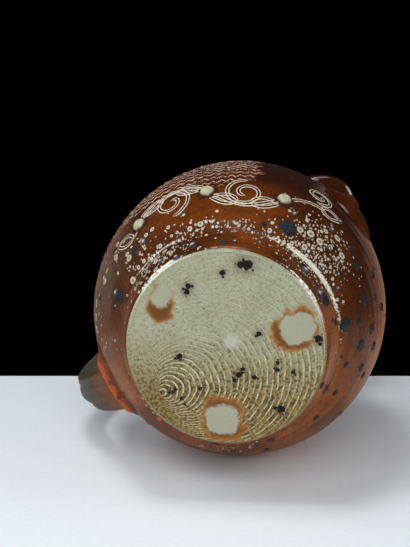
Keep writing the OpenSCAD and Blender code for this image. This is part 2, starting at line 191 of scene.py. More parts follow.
def wad_distance(x, y, drift):
    # Distance in millimetres from the edge of the nearest wad scar, less than nothing inside it. The
    # flash round each scar was drifted to one side by the fire.
    best = 99.0
    for cx, cy, half_x, half_y, turn, drift_x, drift_y in WADS:
        c, s = math.cos(math.radians(turn)), math.sin(math.radians(turn))
        right, up = x - cx - drift * drift_x, y - cy - drift * drift_y
        u = abs(right * c + up * s) / half_x
        v = abs(up * c - right * s) / half_y
        best = min(best, ((u ** 3 + v ** 3) ** (1 / 3) - 1) * (half_x + half_y) / 2)
    return best


def shell_phase(x, y):
    # Loops of the wire count up from the focus: circles that all but touch there.
    away = Vector((x, y)) - SHELL_FOCUS
    spread = SHELL_PINCH - SHELL_PINCH ** 2
    pull = (1 - 2 * SHELL_PINCH) * away.dot(SHELL_WAY)
    across = (math.sqrt(pull * pull + 4 * spread * away.length_squared) - pull) / (2 * spread)
    wander = 1.3 * noise.noise(Vector((x, y, 0)) / 14) + 0.7 * noise.noise(Vector((x, y, 9)) / 5)
    return (across + wander) / SHELL_PITCH


def shell_gap(x, y):
    # Millimetres between two ridges at this place; they crowd together behind the focus.
    here = shell_phase(x, y)
    rise = math.hypot(shell_phase(x + 0.2, y) - here, shell_phase(x, y + 0.2) - here)
    return 0.2 / max(rise, 0.001)


def under_height(x, y):
    # The cut underside stands a little hollow; the wire's ridges, the wads and the edge touch the ground.
    inside = smooth(UNDER_RADIUS, UNDER_RADIUS - 3, math.hypot(x, y))
    plain = smooth(-0.6, 1.2, wad_distance(x, y, 0)) * inside
    fade = (0.25 + 0.75 * smooth(-45, 5, x + 0.5 * y)) * smooth(0.8, 1.6, shell_gap(x, y))
    valley = 1 - (0.5 + 0.5 * math.cos(2 * math.pi * shell_phase(x, y))) ** 4
    return plain * (UNDER_HOLLOW + SHELL_RISE * valley * fade)


profile = [(i * UNDER_RADIUS / UNDER_RINGS, 0.0) for i in range(UNDER_RINGS + 1)]
profile += [(BASE_RADIUS + (k - 1) * WORN_EDGE, k * WORN_EDGE - 0.05) for k in (0.1, 0.5, 0.9)]
profile.append((BASE_RADIUS, WORN_EDGE))
groove_start = FOOT_HEIGHT + GROOVE[0][0]
for i in range(1, FOOT_STEPS):
    z = WORN_EDGE + (groove_start - WORN_EDGE) * i / FOOT_STEPS
    profile.append((wall_radius(z), z))
for rise, depth in GROOVE:
    z = FOOT_HEIGHT + rise
    profile.append((wall_radius(z) - depth, z))
while z < JUG_HEIGHT - NECK_WALL / 2 - 1.5:
    z += WALL_STEP / math.sqrt(1 + wall_slope(z) ** 2)
    profile.append((wall_radius(z), z))
rim_height = JUG_HEIGHT - NECK_WALL / 2 - RIM_CLEARANCE
for i in range(9):
    a = math.pi * i / 8
    across = NECK_WALL / 2 * (1 - math.cos(a))
    profile.append((wall_radius(rim_height) - across, rim_height + NECK_WALL / 2 * math.sin(a)))
floor_top = FLOOR + FLOOR_ROUNDING
for i in range(1, INNER_STEPS + 1):
    z = rim_height + (floor_top - rim_height) * i / INNER_STEPS
    thick = NECK_WALL + (WALL - NECK_WALL) * smooth(NECK_JOINT + 4, NECK_JOINT - 8, z)
    profile.append((wall_radius(z) - thick, z))
side = profile[-1][0]
for i in range(1, 7):
    a = math.pi / 2 * i / 6
    profile.append((side - FLOOR_ROUNDING * (1 - math.cos(a)), floor_top - FLOOR_ROUNDING * math.sin(a)))
profile += [(profile[-1][0] * (1 - i / 8), FLOOR) for i in range(1, 9)]


def spin_profile(outline, steps):
    bm = bmesh.new()
    verts = [bm.verts.new((r, 0, z)) for r, z in outline]
    edges = [bm.edges.new(pair) for pair in zip(verts, verts[1:])]
    bmesh.ops.spin(
        bm, geom=verts + edges, cent=(0, 0, 0), axis=(0, 0, 1), angle=2 * math.pi, steps=steps, use_merge=True
    )
    bmesh.ops.remove_doubles(bm, verts=bm.verts, dist=0.002)
    return bm


# Patches on the wall: turn and its spread, height and its spread, strength. Most are the glaze's own colour;
# those marked below paint light or shade.
LEFT_DRIFT = (-90, 21, 17, 15, 1.0)
RIGHT_DRIFT = (-6, 16, 30, 17, 1.485)
GROOVE_DRIFT = (-48, 24, 23, 4, 0.6)
# The glaze's orange, raised on the belly's far right as painted rim light.
BELLY_ORANGE_AND_RIM_LIGHT = (50, 36, 90, 26, 1.0)
# Painted reflection: a grey-brown sheen on the left side.
SIDE_REFLECTION = (-122, 24, 52, 28, 1.0)
FOOT_HAZE = (6, 20, 10, 6, 0.6)
# Painted sheen at the right edge of the wall.
EDGE_SHEEN = (44, 24, 42, 16, 0.3)
# Painted shade on the right wall, inside its brighter edge.
EDGE_SHADE = (25, 16, 42, 18, 0.65)
# Two places on the foot's worn edge where the white is painted highlight.
LEFT_EDGE_HIGHLIGHT = (-88, 22, 1.9, 1.2, 0.62)
RIGHT_EDGE_HIGHLIGHT = (0, 26, 1.9, 1.2, 0.62)


def patch(turn, z, place):
    at, wide, height, tall, strength = place
    return strength * bell(turn - at, wide) * bell(z - height, tall)


def widen(v, share):
    v.co.x *= share
    v.co.y *= share


bm = spin_profile(profile, SECTORS)
cream, line, warm, wad, ochre, ridge, flash, haze, deep, coarse = (
    bm.verts.layers.float.new(key)
    for key in ("cream", "line", "warm", "wad", "ochre", "ridge", "flash", "haze", "deep", "coarse")
)
inner_verts = set()
under_verts = set()
for v in bm.verts:
    x, y, z = v.co
    r = math.hypot(x, y)
    turn = math.degrees(math.atan2(x, -y)) if r > 1e-6 else 0.0
    depth = wall_radius(max(z, 0.0)) - r
    if z < 0.01 and r < UNDER_RADIUS + 0.01:
        from_focus = Vector((x, y)) - SHELL_FOCUS
        under_verts.add(v)
        v.co.z = under_height(x, y)
        v[wad] = min(wad_distance(x, y, 0), FAR_FROM_WADS) if r < UNDER_RADIUS - 0.3 else POLISHED_EDGE
        v[flash] = wad_distance(x, y, 1)
        v[cream] = bell((Vector((x, y)) - PALE_PUDDLE).length, 6)
        rust = min(1.0, sum(bell(math.hypot(x - a, y - b), 1.9 * size) for a, b, size in BASE_SPOTS))
        v[warm] = max(rust, 0.9 * bell((from_focus - 7 * SHELL_WAY).length, 10))
        v[ochre] = smooth(-20, 44, 0.75 * x + 0.66 * y)
        v[ridge] = shell_phase(x, y)
        clear = 0.3 + 0.7 * smooth(-25, 30, x + 0.6 * y)
        clear += 1.3 * bell((from_focus - 12 * SHELL_WAY).length, 17)
        v[haze] = clear * smooth(0.7, 1.5, shell_gap(x, y))
        continue
    if z < 0.55 * WORN_EDGE and r > UNDER_RADIUS:
        under_verts.add(v)
        v[wad] = POLISHED_EDGE
        v[flash] = POLISHED_EDGE
    if depth > INNER_SKIN and z > FLOOR - 0.1:
        inner_verts.add(v)
    if z > FOOT_HEIGHT + 3 and r > 1e-6 and depth < OUTER_SKIN:
        shift = throwing_rings(turn, z) * smooth(JUG_HEIGHT, JUG_HEIGHT - 12, z)
        shift -= HAIR_HOLLOW * smooth(0.3, 4.0, hair_inside(turn, z))
        widen(v, (r + shift) / r)
    if abs(z - FOOT_HEIGHT) < 2.5 and depth < OUTER_SKIN:
        # Glaze fills the groove on the left and at the back.
        filled = 0.8 - 0.8 * smooth(-80, -55, turn) * smooth(150, 100, turn)
        widen(v, (r + depth * filled) / r)
    if z > NECK_JOINT:
        pull = ((z - NECK_JOINT) / (JUG_HEIGHT - NECK_JOINT)) ** 2
        swell = bell(turn, LIP_ANGLE)
        pinch = bell(turn - 2 * LIP_ANGLE, PINCH_ANGLE) + bell(turn + 2 * LIP_ANGLE, PINCH_ANGLE)
        r_now = math.hypot(v.co.x, v.co.y)
        widen(v, (r_now + pull * (LIP_PULL * swell - LIP_PINCH * pinch)) / r_now)
        v.co.z -= pull * LIP_DIP * swell
    far_side = 0.18 * smooth(0.15, 0.5, noise.noise(v.co / 38)) * smooth(80, 130, abs(turn - 20))
    drifts = sum(patch(turn, z, drift) for drift in (LEFT_DRIFT, RIGHT_DRIFT, GROOVE_DRIFT))
    v[cream] = min(1.0, drifts + far_side)
    in_groove = (0.30 + 0.34 * bell(turn - 2, 32)) * bell(z - FOOT_HEIGHT - 1.2, 2.2) * smooth(-66, -40, turn)
    # The white line in the groove, and painted highlight at two places on the worn edge.
    v[line] = max(in_groove, patch(turn, z, LEFT_EDGE_HIGHLIGHT), patch(turn, z, RIGHT_EDGE_HIGHLIGHT))
    sunny = smooth(-85, -55, turn) * smooth(20, -15, turn) * smooth(42, 22, z)
    below = bell(turn - 105, 70) * smooth(110, 60, z)
    # The glaze's orange low at the right, and painted rim light on the belly's far right.
    orange_and_rim_light = max(patch(turn, z, BELLY_ORANGE_AND_RIM_LIGHT), bell(turn - 50, 34) * smooth(26, 16, z))
    # The last term brightens the foot low at the left as a painted reflection.
    v[warm] = max(0.55 * sunny, below, min(1.6 * orange_and_rim_light, 1), bell(turn + 168, 30))
    v[coarse] = smooth(-62, -84, turn)
    # Grey-brown: painted reflection on the left side and painted sheen at the right edge, with a grey patch
    # by the foot.
    v[haze] = sum(patch(turn, z, haze_and_sheen_patch) for haze_and_sheen_patch in (SIDE_REFLECTION, FOOT_HAZE, EDGE_SHEEN))
    # Darker towards the top at the front, and painted shade on the right wall.
    v[deep] = 0.95 * smooth(40, 72, z) * smooth(62, 28, abs(turn + 22)) + patch(turn, z, EDGE_SHADE)
for f in bm.faces:
    if all(v in under_verts for v in f.verts):
        f.material_index = 1
    elif all(v in inner_verts for v in f.verts):
        f.material_index = 2


def linear(code):
    parts = [int(code[i : i + 2], 16) / 255 for i in (1, 3, 5)]
    return [c / 12.92 if c <= 0.04045 else ((c + 0.055) / 1.055) ** 2.4 for c in parts] + [1.0]


def add_node(tree, kind, *values, sockets=None, **settings):
    # The values go to the node's open inputs in their own order, and sockets to inputs by name. A node
    # given as a value stands for its first open output, and a colour may be given by its code. A map range
    # takes its value, the two ends that this comes from and the two that it goes to; a noise takes its
    # place, 1000 over its size in millimetres, detail and roughness.
    made = tree.nodes.new("ShaderNode" + kind)
    for key, value in settings.items():
        setattr(made, key, value)
    pairs = list(zip([s for s in made.inputs if s.enabled], values))
    pairs += [(made.inputs[key], value) for key, value in (sockets or {}).items()]
    for socket, value in pairs:
        if isinstance(value, bpy.types.Node):
            value = next(s for s in value.outputs if s.enabled)
        if isinstance(value, str):
            value = linear(value)
        if isinstance(value, bpy.types.NodeSocket):
            tree.links.new(value, socket)
        else:
            socket.default_value = value
    return made


def new_tree(owner):
    # Empties a material's or the world's nodes and returns what adds a node there.
    owner.use_nodes = True
    owner.node_tree.nodes.clear()
    return partial(add_node, owner.node_tree)


def new_material(name, *keys):
    # Returns the material, what adds a node to it, the place on the piece and the attributes it reads.
    made = bpy.data.materials.new(name)
    add = new_tree(made)
    shares = [add("Attribute", attribute_name=key).outputs["Fac"] for key in keys]
    return made, add, add("TexCoord").outputs["Object"], *shares


def finish_material(add, colour, roughness, ior, relief, strength, depth):
    # Ends a material with its fine relief, whose depth is in millimetres, and its gloss.
    bump = add("Bump", sockets={"Height": relief, "Strength": strength, "Distance": depth * MM})
    coat = {"Base Color": colour, "Roughness": roughness, "IOR": ior, "Normal": bump}
    add("OutputMaterial", add("BsdfPrincipled", sockets=coat))


# Salt-glazed stoneware: vapour glaze over red-brown clay, glossy and a little pitted like orange peel.
# It breaks from near black to orange, and beads of pale glass with dark middles lie in drifts on it.
UNROLL_RADIUS = 75.0
# Beads: spacing, largest radius, share that is there, and what the coarse drift adds to that share.
BEADS = ((1.9, 0.72, 0.8, -0.6), (3.4, 1.35, 0.78, -0.3), (4.9, 1.8, 0.0, 0.7), (7.5, 2.7, 0.4, 0.3))
# Bands of a bead from the outside in: where each starts and is full, in radii, its share and its colour.
BEAD_HALO = (1.5, 1.05, 0.8, "#27160c")
BEAD_GLASS = (1.0, 0.8, 0.9, "#bcb19c")
BEAD_PIT = (0.46, 0.24, 0.8, "#4a4038")
salt_glaze, add, place, *shares = new_material(
    "salt_glazed_stoneware", "cream", "line", "warm", "haze", "deep", "coarse"
)
cream_share, line_and_highlight_share, warm_share, haze_and_sheen_share, deep_and_shade_share, coarse_share = shares
axes = add("SeparateXYZ", place)
front = add("Math", axes.outputs["Y"], -1.0, operation="MULTIPLY")
around = add("Math", axes.outputs["X"], front, operation="ARCTAN2")
around = add("Math", around, UNROLL_RADIUS * MM, operation="MULTIPLY")
unrolled = add("CombineXYZ", around, axes.outputs["Z"])
clouds = add("TexNoise", place, 1000 / 42, 4.0, 0.6)
mottle = add("TexNoise", place, 1000 / 2.6, 3.0, 0.65)
cloud_share = add("MapRange", clouds, 0.36, 0.66)
colour = add("Mix", cloud_share, "#341505", "#6a320b", data_type="RGBA")
warm_broken = add("MapRange", clouds, 0.36, 0.6, 0.25, 1.0)
warm_broken = add("Math", warm_share, warm_broken, operation="MULTIPLY")
ground_share = add("Math", cream_share, 0.7, operation="MULTIPLY")
mottle_share = add("MapRange", mottle, 0.46, 0.7, 0.0, 0.55)
# The glaze ran round the pot on the wheel's rings, so faint streaks follow them.
drawn = add("Mapping", sockets={"Vector": unrolled, "Scale": (0.25, 1.0, 1.0)})
streak = add("TexNoise", drawn, 1000 / 9, 1.0)
streak_share = add("MapRange", streak, 0.45, 0.75, 0.0, 0.6)
# Besides the glaze's own colours, these mixes paint light and shade: the haze share holds painted reflection
# and sheen, the warm share painted rim light and reflection, the deep share painted shade on the right.
for share, code in (
    (warm_broken, "#94501b"), (haze_and_sheen_share, "#54453a"), (ground_share, "#43240a"), (deep_and_shade_share, "#2a1004"),
    (mottle_share, "#24120b"), (streak_share, "#2b1509"),
):
    colour = add("Mix", share, colour, code, data_type="RGBA")
bead_height = 0.0
for spacing, biggest, share, coarser in BEADS:
    cells = add(
        "TexVoronoi", sockets={"Vector": unrolled, "Scale": 1000 / spacing, "Randomness": 0.9},
        voronoi_dimensions="2D", feature="F1",
    )
    chance = add("SeparateColor", cells.outputs["Color"])
    gap = add("Math", cells, spacing, operation="MULTIPLY")
    radius = add("MapRange", chance.outputs["Green"], 0.0, 1.0, 0.55 * biggest, biggest)
    allowed = add("Math", coarse_share, coarser, share, operation="MULTIPLY_ADD")
    allowed = add("Math", cream_share, allowed, operation="MULTIPLY")
    present = add("Math", chance.outputs["Red"], allowed, operation="LESS_THAN")
    near = add("Math", gap, radius, operation="DIVIDE")
    for band in (BEAD_HALO, BEAD_GLASS, BEAD_PIT) if spacing > 4 else (BEAD_HALO, BEAD_GLASS):
        start, full, most, code = band
        within = add("MapRange", near, start, full, 0.0, present, interpolation_type="SMOOTHSTEP")
        band_share = add("Math", within, most, operation="MULTIPLY")
        colour = add("Mix", band_share, colour, code, data_type="RGBA")
        if band == BEAD_GLASS:
            bead_height = add("Math", within, bead_height, operation="ADD")
# The groove above the foot caught a broken line of white glaze; the white at two places on the worn edge
# under it is painted highlight.
crumbs = add("TexNoise", place, 1000 / 1.4, 2.0, 0.7)
line_sum = add("Math", line_and_highlight_share, crumbs, operation="ADD")
line_mask = add("MapRange", line_sum, 0.92, 1.06, 0.0, 0.9)
colour = add("Mix", line_mask, colour, "#d8d6c6", data_type="RGBA")
peel = add("TexNoise", place, 1000 / 1.5, 2.0)
peel_height = add("Math", peel, 0.34, operation="MULTIPLY")
height = add("Math", peel_height, bead_height, operation="ADD")
gloss = add("MapRange", mottle, 0.3, 0.7, 0.07, 0.20)
finish_material(add, colour, roughness=gloss, ior=1.46, relief=height, strength=0.7, depth=0.4)

# Wire-cut stoneware: pale olive clay with a thin skin of ash, dull, with brown specks and shell-like
# ridges left by the twisted wire. Wads kept pale grey patches clean, each in an orange flash.
TURNED_LINE = 55.6
cut_clay, add, place, *shares = new_material(
    "wire_cut_stoneware", "wad", "ochre", "flash", "ridge", "haze", "warm", "cream"
)
wad_gap, ochre_share, flash_gap, shell, shell_share, rust, puddle = shares
grit = add("TexNoise", place, 1000 / 1.3, 3.0, 0.7)
cloud = add("TexNoise", place, 1000 / 16, 5.0)
fine = add("TexNoise", place, 1000 / 1.7, 1.5, 0.6)
speck = add("TexNoise", place, 1000 / 2.2, 2.0, 0.7)
worn = add("TexNoise", place, 1000 / 3.5, 3.0, 0.7)
ragged = add("TexNoise", place, 1000 / 5, 2.0, 0.6)
# The wire's ridges are pale crests, partly worn clay and partly painted highlight, with a dark band of
# painted shade at one side; both show where wear left them.
turns = add("Math", shell, 2 * math.pi, operation="MULTIPLY")
half_turns = add("Math", shell, 4 * math.pi, operation="MULTIPLY")
ripple = add("Math", turns, operation="COSINE")
half_ripple = add("Math", half_turns, operation="COSINE")
half_ripple = add("Math", half_ripple, 0.25, operation="MULTIPLY")
ripple = add("Math", ripple, half_ripple, operation="ADD")
wear_and_ridge_shading = add("MapRange", worn, 0.38, 0.64)
wear_and_ridge_shading = add("Math", wear_and_ridge_shading, shell_share, operation="MULTIPLY")
crest_and_highlight = add("MapRange", ripple, 0.45, 0.95, 0.0, wear_and_ridge_shading)
beside = add("Math", turns, operation="SINE")
trough_shade = add("MapRange", beside, 0.45, 0.95, 0.0, wear_and_ridge_shading)
trough_shade = add("Math", trough_shade, 0.7, operation="MULTIPLY")
grime = add("MapRange", grit, 0.42, 0.7, 0.0, 0.5)
rust = add("Math", rust, worn, operation="MULTIPLY")
# Grain and specks grow denser where the clay turned ochre.
grain_low = add("MapRange", ochre_share, 0.0, 1.0, 0.53, 0.44)
grain_high = add("Math", grain_low, 0.14, operation="ADD")
grain_most = add("MapRange", ochre_share, 0.0, 0.7, 0.3, 0.9)
grain = add("MapRange", fine, grain_low, grain_high, 0.0, grain_most)
speck_low = add("MapRange", ochre_share, 0.0, 1.0, 0.66, 0.57)
speck_high = add("Math", speck_low, 0.07, operation="ADD")
speck_share = add("MapRange", speck, speck_low, speck_high)
# A puddle of whitish glaze lies near the middle, and a turned line runs round just inside the edge.
puddle = add("Math", puddle, worn, operation="MULTIPLY")
puddle = add("MapRange", puddle, 0.2, 0.5, 0.0, 0.85)
axes = add("SeparateXYZ", place)
flat = add("CombineXYZ", axes.outputs["X"], axes.outputs["Y"])
reach = add("VectorMath", flat, operation="LENGTH")
ring_gap = add("Math", reach, TURNED_LINE * MM, operation="SUBTRACT")
ring_gap = add("Math", ring_gap, operation="ABSOLUTE")
turned = add("MapRange", ring_gap, 0.6 * MM, 0.2 * MM, 0.0, wear_and_ridge_shading)
colour = add("Mix", cloud, "#8f9378", "#b9bda2", data_type="RGBA")
# The trough's dark is painted shade; the crest's pale is worn clay with painted highlight.
for share, code in (
    (grime, "#6d6a4c"), (ochre_share, "#917b40"), (rust, "#4e3814"), (trough_shade, "#54451f"), (grain, "#4c3a14"),
    (speck_share, "#3f2a0e"), (crest_and_highlight, "#cbc6a6"), (puddle, "#bcbeb8"), (turned, "#5a4a26"),
):
    colour = add("Mix", share, colour, code, data_type="RGBA")
# Torn edges of the wads' clean patches, and the flash that darkens towards them.
tear = add("MapRange", ragged, 0.2, 0.8, -1.8, 1.8)
edge = add("Math", wad_gap, tear, operation="ADD")
uneven = add("MapRange", cloud, 0.35, 0.65, -2.0, 3.0)
flash_edge = add("Math", flash_gap, tear, operation="ADD")
flash_edge = add("Math", flash_edge, uneven, operation="ADD")
flashing = add("MapRange", flash_edge, 5.6, 1.6, interpolation_type="SMOOTHSTEP")
scorch_share = add("MapRange", flash_edge, 0.0, 4.0)
scorch = add("Mix", scorch_share, "#6c3f0e", "#a4681c", data_type="RGBA")
colour = add("Mix", flashing, colour, scorch, data_type="RGBA")
clean = add("MapRange", edge, 0.9, -0.9, interpolation_type="SMOOTHSTEP")
clean_colour = add("Mix", grit, "#94967f", "#a9aa95", data_type="RGBA")
colour = add("Mix", clean, colour, clean_colour, data_type="RGBA")
lines = add("Math", crest_and_highlight, grit, operation="ADD")
polish = add("MapRange", wad_gap, FAR_FROM_WADS + 1, POLISHED_EDGE, 0.36, 0.15)
finish_material(add, colour, roughness=polish, ior=1.5, relief=lines, strength=0.5, depth=0.35)

# Liner glaze: the dark brown slip glaze poured inside, glossy, thin and redder on the throwing rings.
liner, add, place = new_material("liner_glaze")
squash = add("Mapping", sockets={"Vector": place, "Scale": (0.25, 0.25, 1.0)})
streak = add("TexNoise", squash, 1000 / 7, 4.0)
colour = add("Mix", streak, "#2a160d", "#6a3a1e", data_type="RGBA")
finish_material(add, colour, roughness=0.2, ior=1.52, relief=streak, strength=0.4, depth=0.8)


def new_object(bm, name, *materials):
    # A mesh in millimetres becomes an object in metres.
    bmesh.ops.scale(bm, vec=(MM, MM, MM), verts=bm.verts)
    mesh = bpy.data.meshes.new(name)
    bm.to_mesh(mesh)
    bm.free()
    for material in materials:
        mesh.materials.append(material)
    made = bpy.data.objects.new(name, mesh)
    bpy.context.scene.collection.objects.link(made)
    return made


def new_piece(bm, name, *materials):
    # A closed shape becomes an object with its faces turned outwards and shaded smooth.
    bmesh.ops.recalc_face_normals(bm, faces=bm.faces)
    for f in bm.faces:
        f.smooth = True
    return new_object(bm, name, *materials)


thrown_wall = new_piece(bm, "thrown_wall", salt_glaze, cut_clay, liner)
thrown_wall.data.set_sharp_from_angle(angle=math.radians(50))
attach(thrown_wall, "root")
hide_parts("thrown_body", "neck_with_lip")

# Strap handle
# A pulled strap of the same clay, luted to the wall at both ends, with a rib down its back and finger
# grooves beside it. A grid is rolled along the spine and its seam and ends are closed.
HANDLE_TURN = 190.0
HANDLE_REACH = 125.0
REACH_HEIGHT = 132.0
LOWER_ROOT = 64.0
LOWER_ANGLE = math.radians(36)
UPPER_ROOT = 211.0
LOWER_PULL = 16.0
REACH_BELOW = 34.0
REACH_ABOVE = 40.0
UPPER_PULL = 38.0
UPPER_RISE = 6.0
STRAP_WIDTH = 25.0
STRAP_SPREAD = 5.0
STRAP_THICKNESS = 9.0
STRAP_RIB = 2.0
STRAP_GROOVE = 1.1
ROOT_SINK = 3.0
AROUND = 72
ALONG = 190
lower_root = Vector((wall_radius(LOWER_ROOT), LOWER_ROOT))
upper_root = Vector((wall_radius(UPPER_ROOT), UPPER_ROOT))
outermost = Vector((HANDLE_REACH, REACH_HEIGHT))
leaving = LOWER_PULL * Vector((math.cos(LOWER_ANGLE), math.sin(LOWER_ANGLE)))
spine_low = [lower_root, lower_root + leaving, outermost - Vector((0, REACH_BELOW)), outermost]
arriving = upper_root + Vector((UPPER_PULL, UPPER_RISE))
spine_high = [outermost, outermost + Vector((0, REACH_ABOVE)), arriving, upper_root]


def spine(t):
    p, k = (spine_low, t) if t <= 1 else (spine_high, t - 1)
    return (1 - k) ** 3 * p[0] + 3 * (1 - k) ** 2 * k * p[1] + 3 * (1 - k) * k * k * p[2] + k ** 3 * p[3]


def spine_way(t):
    p, k = (spine_low, t) if t <= 1 else (spine_high, t - 1)
    way = (1 - k) ** 2 * (p[1] - p[0]) + 2 * (1 - k) * k * (p[2] - p[1]) + k * k * (p[3] - p[2])
    return way.normalized()


def strap_half(t):
    return (STRAP_WIDTH + STRAP_SPREAD * (t - 1) ** 2) / 2


def signed_power(v, e):
    return math.copysign(abs(v) ** e, v)


def new_grid(across, along, half=1):
    bm = bmesh.new()
    bmesh.ops.create_grid(bm, x_segments=across, y_segments=along, size=half)
    return bm


def strap_section(t, a, grow):
    x = (strap_half(t) + grow) * signed_power(math.cos(a), 0.8)
    s = (STRAP_THICKNESS / 2 + grow) * signed_power(math.sin(a), 0.7)
    if math.sin(a) > 0:
        s += STRAP_RIB * bell(x, 0.22 * STRAP_WIDTH) * math.sin(a) * (1 - (t - 1) ** 2)
    return x, s


bm = new_grid(AROUND, ALONG)
relief_layer = bm.verts.layers.float.new("relief")
flash_layer = bm.verts.layers.float.new("flash")
turn_handle = Matrix.Rotation(math.radians(HANDLE_TURN - 180), 4, "Z")
for v in bm.verts:
    a = math.pi * (v.co.x + 1)
    t = v.co.y + 1
    x, s = strap_section(min(max(t, 0), 2), a, 0)
    back = max(math.sin(a), 0)
    groove = back * (bell(abs(x) - 7.0, 1.3) + 0.6 * bell(abs(x) - 10.3, 0.9))
    groove *= smooth(0.05, 0.3, t) * smooth(1.95, 1.7, t)
    drawn = 0.25 * noise.noise(Vector((x / 2.2, s / 4, 7 * t)))
    s -= STRAP_GROOVE * groove * (1 if s > 0 else -1)
    s += (drawn - 0.15) * (1 if s > 0 else -1)
    p, d = spine(t), spine_way(t)
    sink = ROOT_SINK * (smooth(0.03, 0.0, t) + smooth(1.97, 2.0, t))
    v.co = turn_handle @ Vector((x, p.x + s * d.y - sink, p.y - s * d.x))
    v[relief_layer] = back * bell(x, 3.0) - groove
    v[flash_layer] = smooth(0.5, 0.1, t)
bmesh.ops.remove_doubles(bm, verts=bm.verts, dist=0.01)
bmesh.ops.holes_fill(bm, edges=[e for e in bm.edges if e.is_boundary], sides=0)

# Ash glaze: olive-grey glass from fly ash, glossy, pooled dark in the grooves, thin and brown on the
# rib and rusty towards the lower root.
ash_glaze, add, place, relief, rusty = new_material("ash_glaze", "relief", "flash")
clouds = add("TexNoise", place, 1000 / 14, 5.0, 0.6)
fine = add("TexNoise", place, 1000 / 1.8, 2.0)
pool = add("MapRange", relief, 0.0, -0.8, 0.0, 0.8)
thin = add("MapRange", relief, 0.5, 1.0, 0.0, 0.55)
fleck = add("MapRange", fine, 0.6, 0.75, 0.0, 0.6)
rusty = add("Math", rusty, clouds, operation="MULTIPLY")
colour = add("Mix", clouds, "#272217", "#625d4b", data_type="RGBA")
for share, code in ((pool, "#2b2418"), (thin, "#3b2a1c"), (fleck, "#2e2a20"), (rusty, "#7a3c1c")):
    colour = add("Mix", share, colour, code, data_type="RGBA")
finish_material(add, colour, roughness=0.14, ior=1.62, relief=clouds, strength=0.3, depth=0.6)
strap_handle = new_piece(bm, "strap_handle", ash_glaze)
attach(strap_handle, "root")
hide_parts("handle_strap")

# Handle collars
# Clay smeared round the strap's roots with a thumb: a full ring under the rim and a crescent at the
# lower root, where bare clay flashed orange in the fire and glaze ran over it in pale drips.
COLLAR_REACH = 9.0
COLLAR_HEIGHT = 4.0
COLLAR_GAP = 0.2
COLLAR_EDGE = 0.7
COLLAR_SEAT = -1.0
THUMB_DEPTH = 0.55
# Crumbs of clay beside the lower root: turn, height and radius.
CRUMBS = ((173, 2.6, 1.7), (177, 12, 1.1), (185, 30, 1.5), (196, 24, 1.0))

# Flashed clay: bare, dull, sandy orange, dark under a film of glaze at the edge, with pale runs.
flashed, add, place, spread = new_material("flashed_bare_clay", "relief")
clouds = add("TexNoise", place, 1000 / 7, 4.0)
drip = add("TexNoise", place, 1000 / 4.5, 3.0)
grit = add("TexNoise", place, 1000 / 0.9, 2.0)
covered = add("Math", spread, drip, operation="ADD")
covered = add("MapRange", covered, 1.05, 1.25, 0.0, 0.9)
run = add("MapRange", drip, 0.66, 0.72, 0.0, 0.8)
colour = add("Mix", clouds, "#8c330a", "#c6621c", data_type="RGBA")
for share, code in ((covered, "#4a2410"), (run, "#cfc3ab")):
    colour = add("Mix", share, colour, code, data_type="RGBA")
finish_material(add, colour, roughness=0.38, ior=1.5, relief=grit, strength=0.4, depth=0.3)


def sine(t):
    return max(math.sin(math.pi * t), 0.0)


def close_sheet(bm):
    # Gives a sheet a back, still in the same place, and returns the back's points.
    made = bmesh.ops.extrude_face_region(bm, geom=bm.faces[:], use_keep_orig=True)
    return [v for v in made["geom"] if isinstance(v, bmesh.types.BMVert)]


def seat_in_wall(bm, lift):
    for v in close_sheet(bm):
        v.co = on_wall(math.degrees(math.atan2(v.co.x, -v.co.y)), 0, v.co.z, lift)


for name, node, t, drop, start, sweep, finish, slot_name in (
    ("handle_collar_upper", "handle_upper_collar", 2, 0.0, 0.0, 360.0, ash_glaze, "ash_glaze"),
    ("handle_collar_lower", "handle_lower_collar", 0, 0.5, 178.0, 184.0, flashed, "bare_clay"),
):
    tilt = abs(spine_way(t).x)
    half_width = strap_half(t) + COLLAR_GAP + COLLAR_REACH + COLLAR_EDGE
    half_height = STRAP_THICKNESS / 2 + COLLAR_GAP + COLLAR_REACH + COLLAR_EDGE
    bm = new_grid(120, 18)
    spread = bm.verts.layers.float.new("relief")
    for v in bm.verts:
        part, k = (v.co.x + 1) / 2, (v.co.y + 1) / 2
        v[spread] = k if t == 0 else 0.0
        a = math.radians(start + sweep * part)
        x, s = strap_section(t, -a, COLLAR_GAP - 1.2)
        lobe = 1.0 + 1.1 * drop * noise.noise(Vector((1.6 * math.cos(a), 1.6 * math.sin(a), 4.0)))
        outer_y = lobe * half_height * math.sin(a) * (1 + drop if math.sin(a) < 0 else 1)
        thumb = THUMB_DEPTH * (0.5 + 0.5 * math.sin(9 * a + 2 * k)) * math.sin(math.pi * k)
        along = (1 - k) * x + k * lobe * half_width * math.cos(a)
        up = (1 - k) * -s * tilt + k * outer_y
        ends = 1.0 if sweep == 360 else smooth(0, 0.12, part) * smooth(1, 0.88, part)
        lift = 0.3 + COLLAR_HEIGHT * math.cos(math.pi / 2 * k) ** 1.3 * (0.35 + 0.65 * ends) - thumb * ends
        lift += 5.0 * drop * sine(k) * ends * max(noise.noise(Vector((along, up, 0)) / 6), 0)
        if k > 0.999:
            lift = -0.4
        v.co = on_wall(HANDLE_TURN, along, spine(t).y + up, lift)
    if sweep == 360:
        bmesh.ops.remove_doubles(bm, verts=bm.verts, dist=0.01)
    seat_in_wall(bm, COLLAR_SEAT)
    for turn, z, size in CRUMBS if t == 0 else ():
        made = bmesh.ops.create_uvsphere(bm, u_segments=16, v_segments=10, radius=size)
        for v in made["verts"]:
            v.co *= 1 + 0.3 * noise.noise(v.co)
            v.co = on_wall(turn, v.co.x, z + v.co.y, 0.7 * v.co.z)
    collar = new_piece(bm, name, finish)
    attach(collar, "root")
    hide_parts(node)

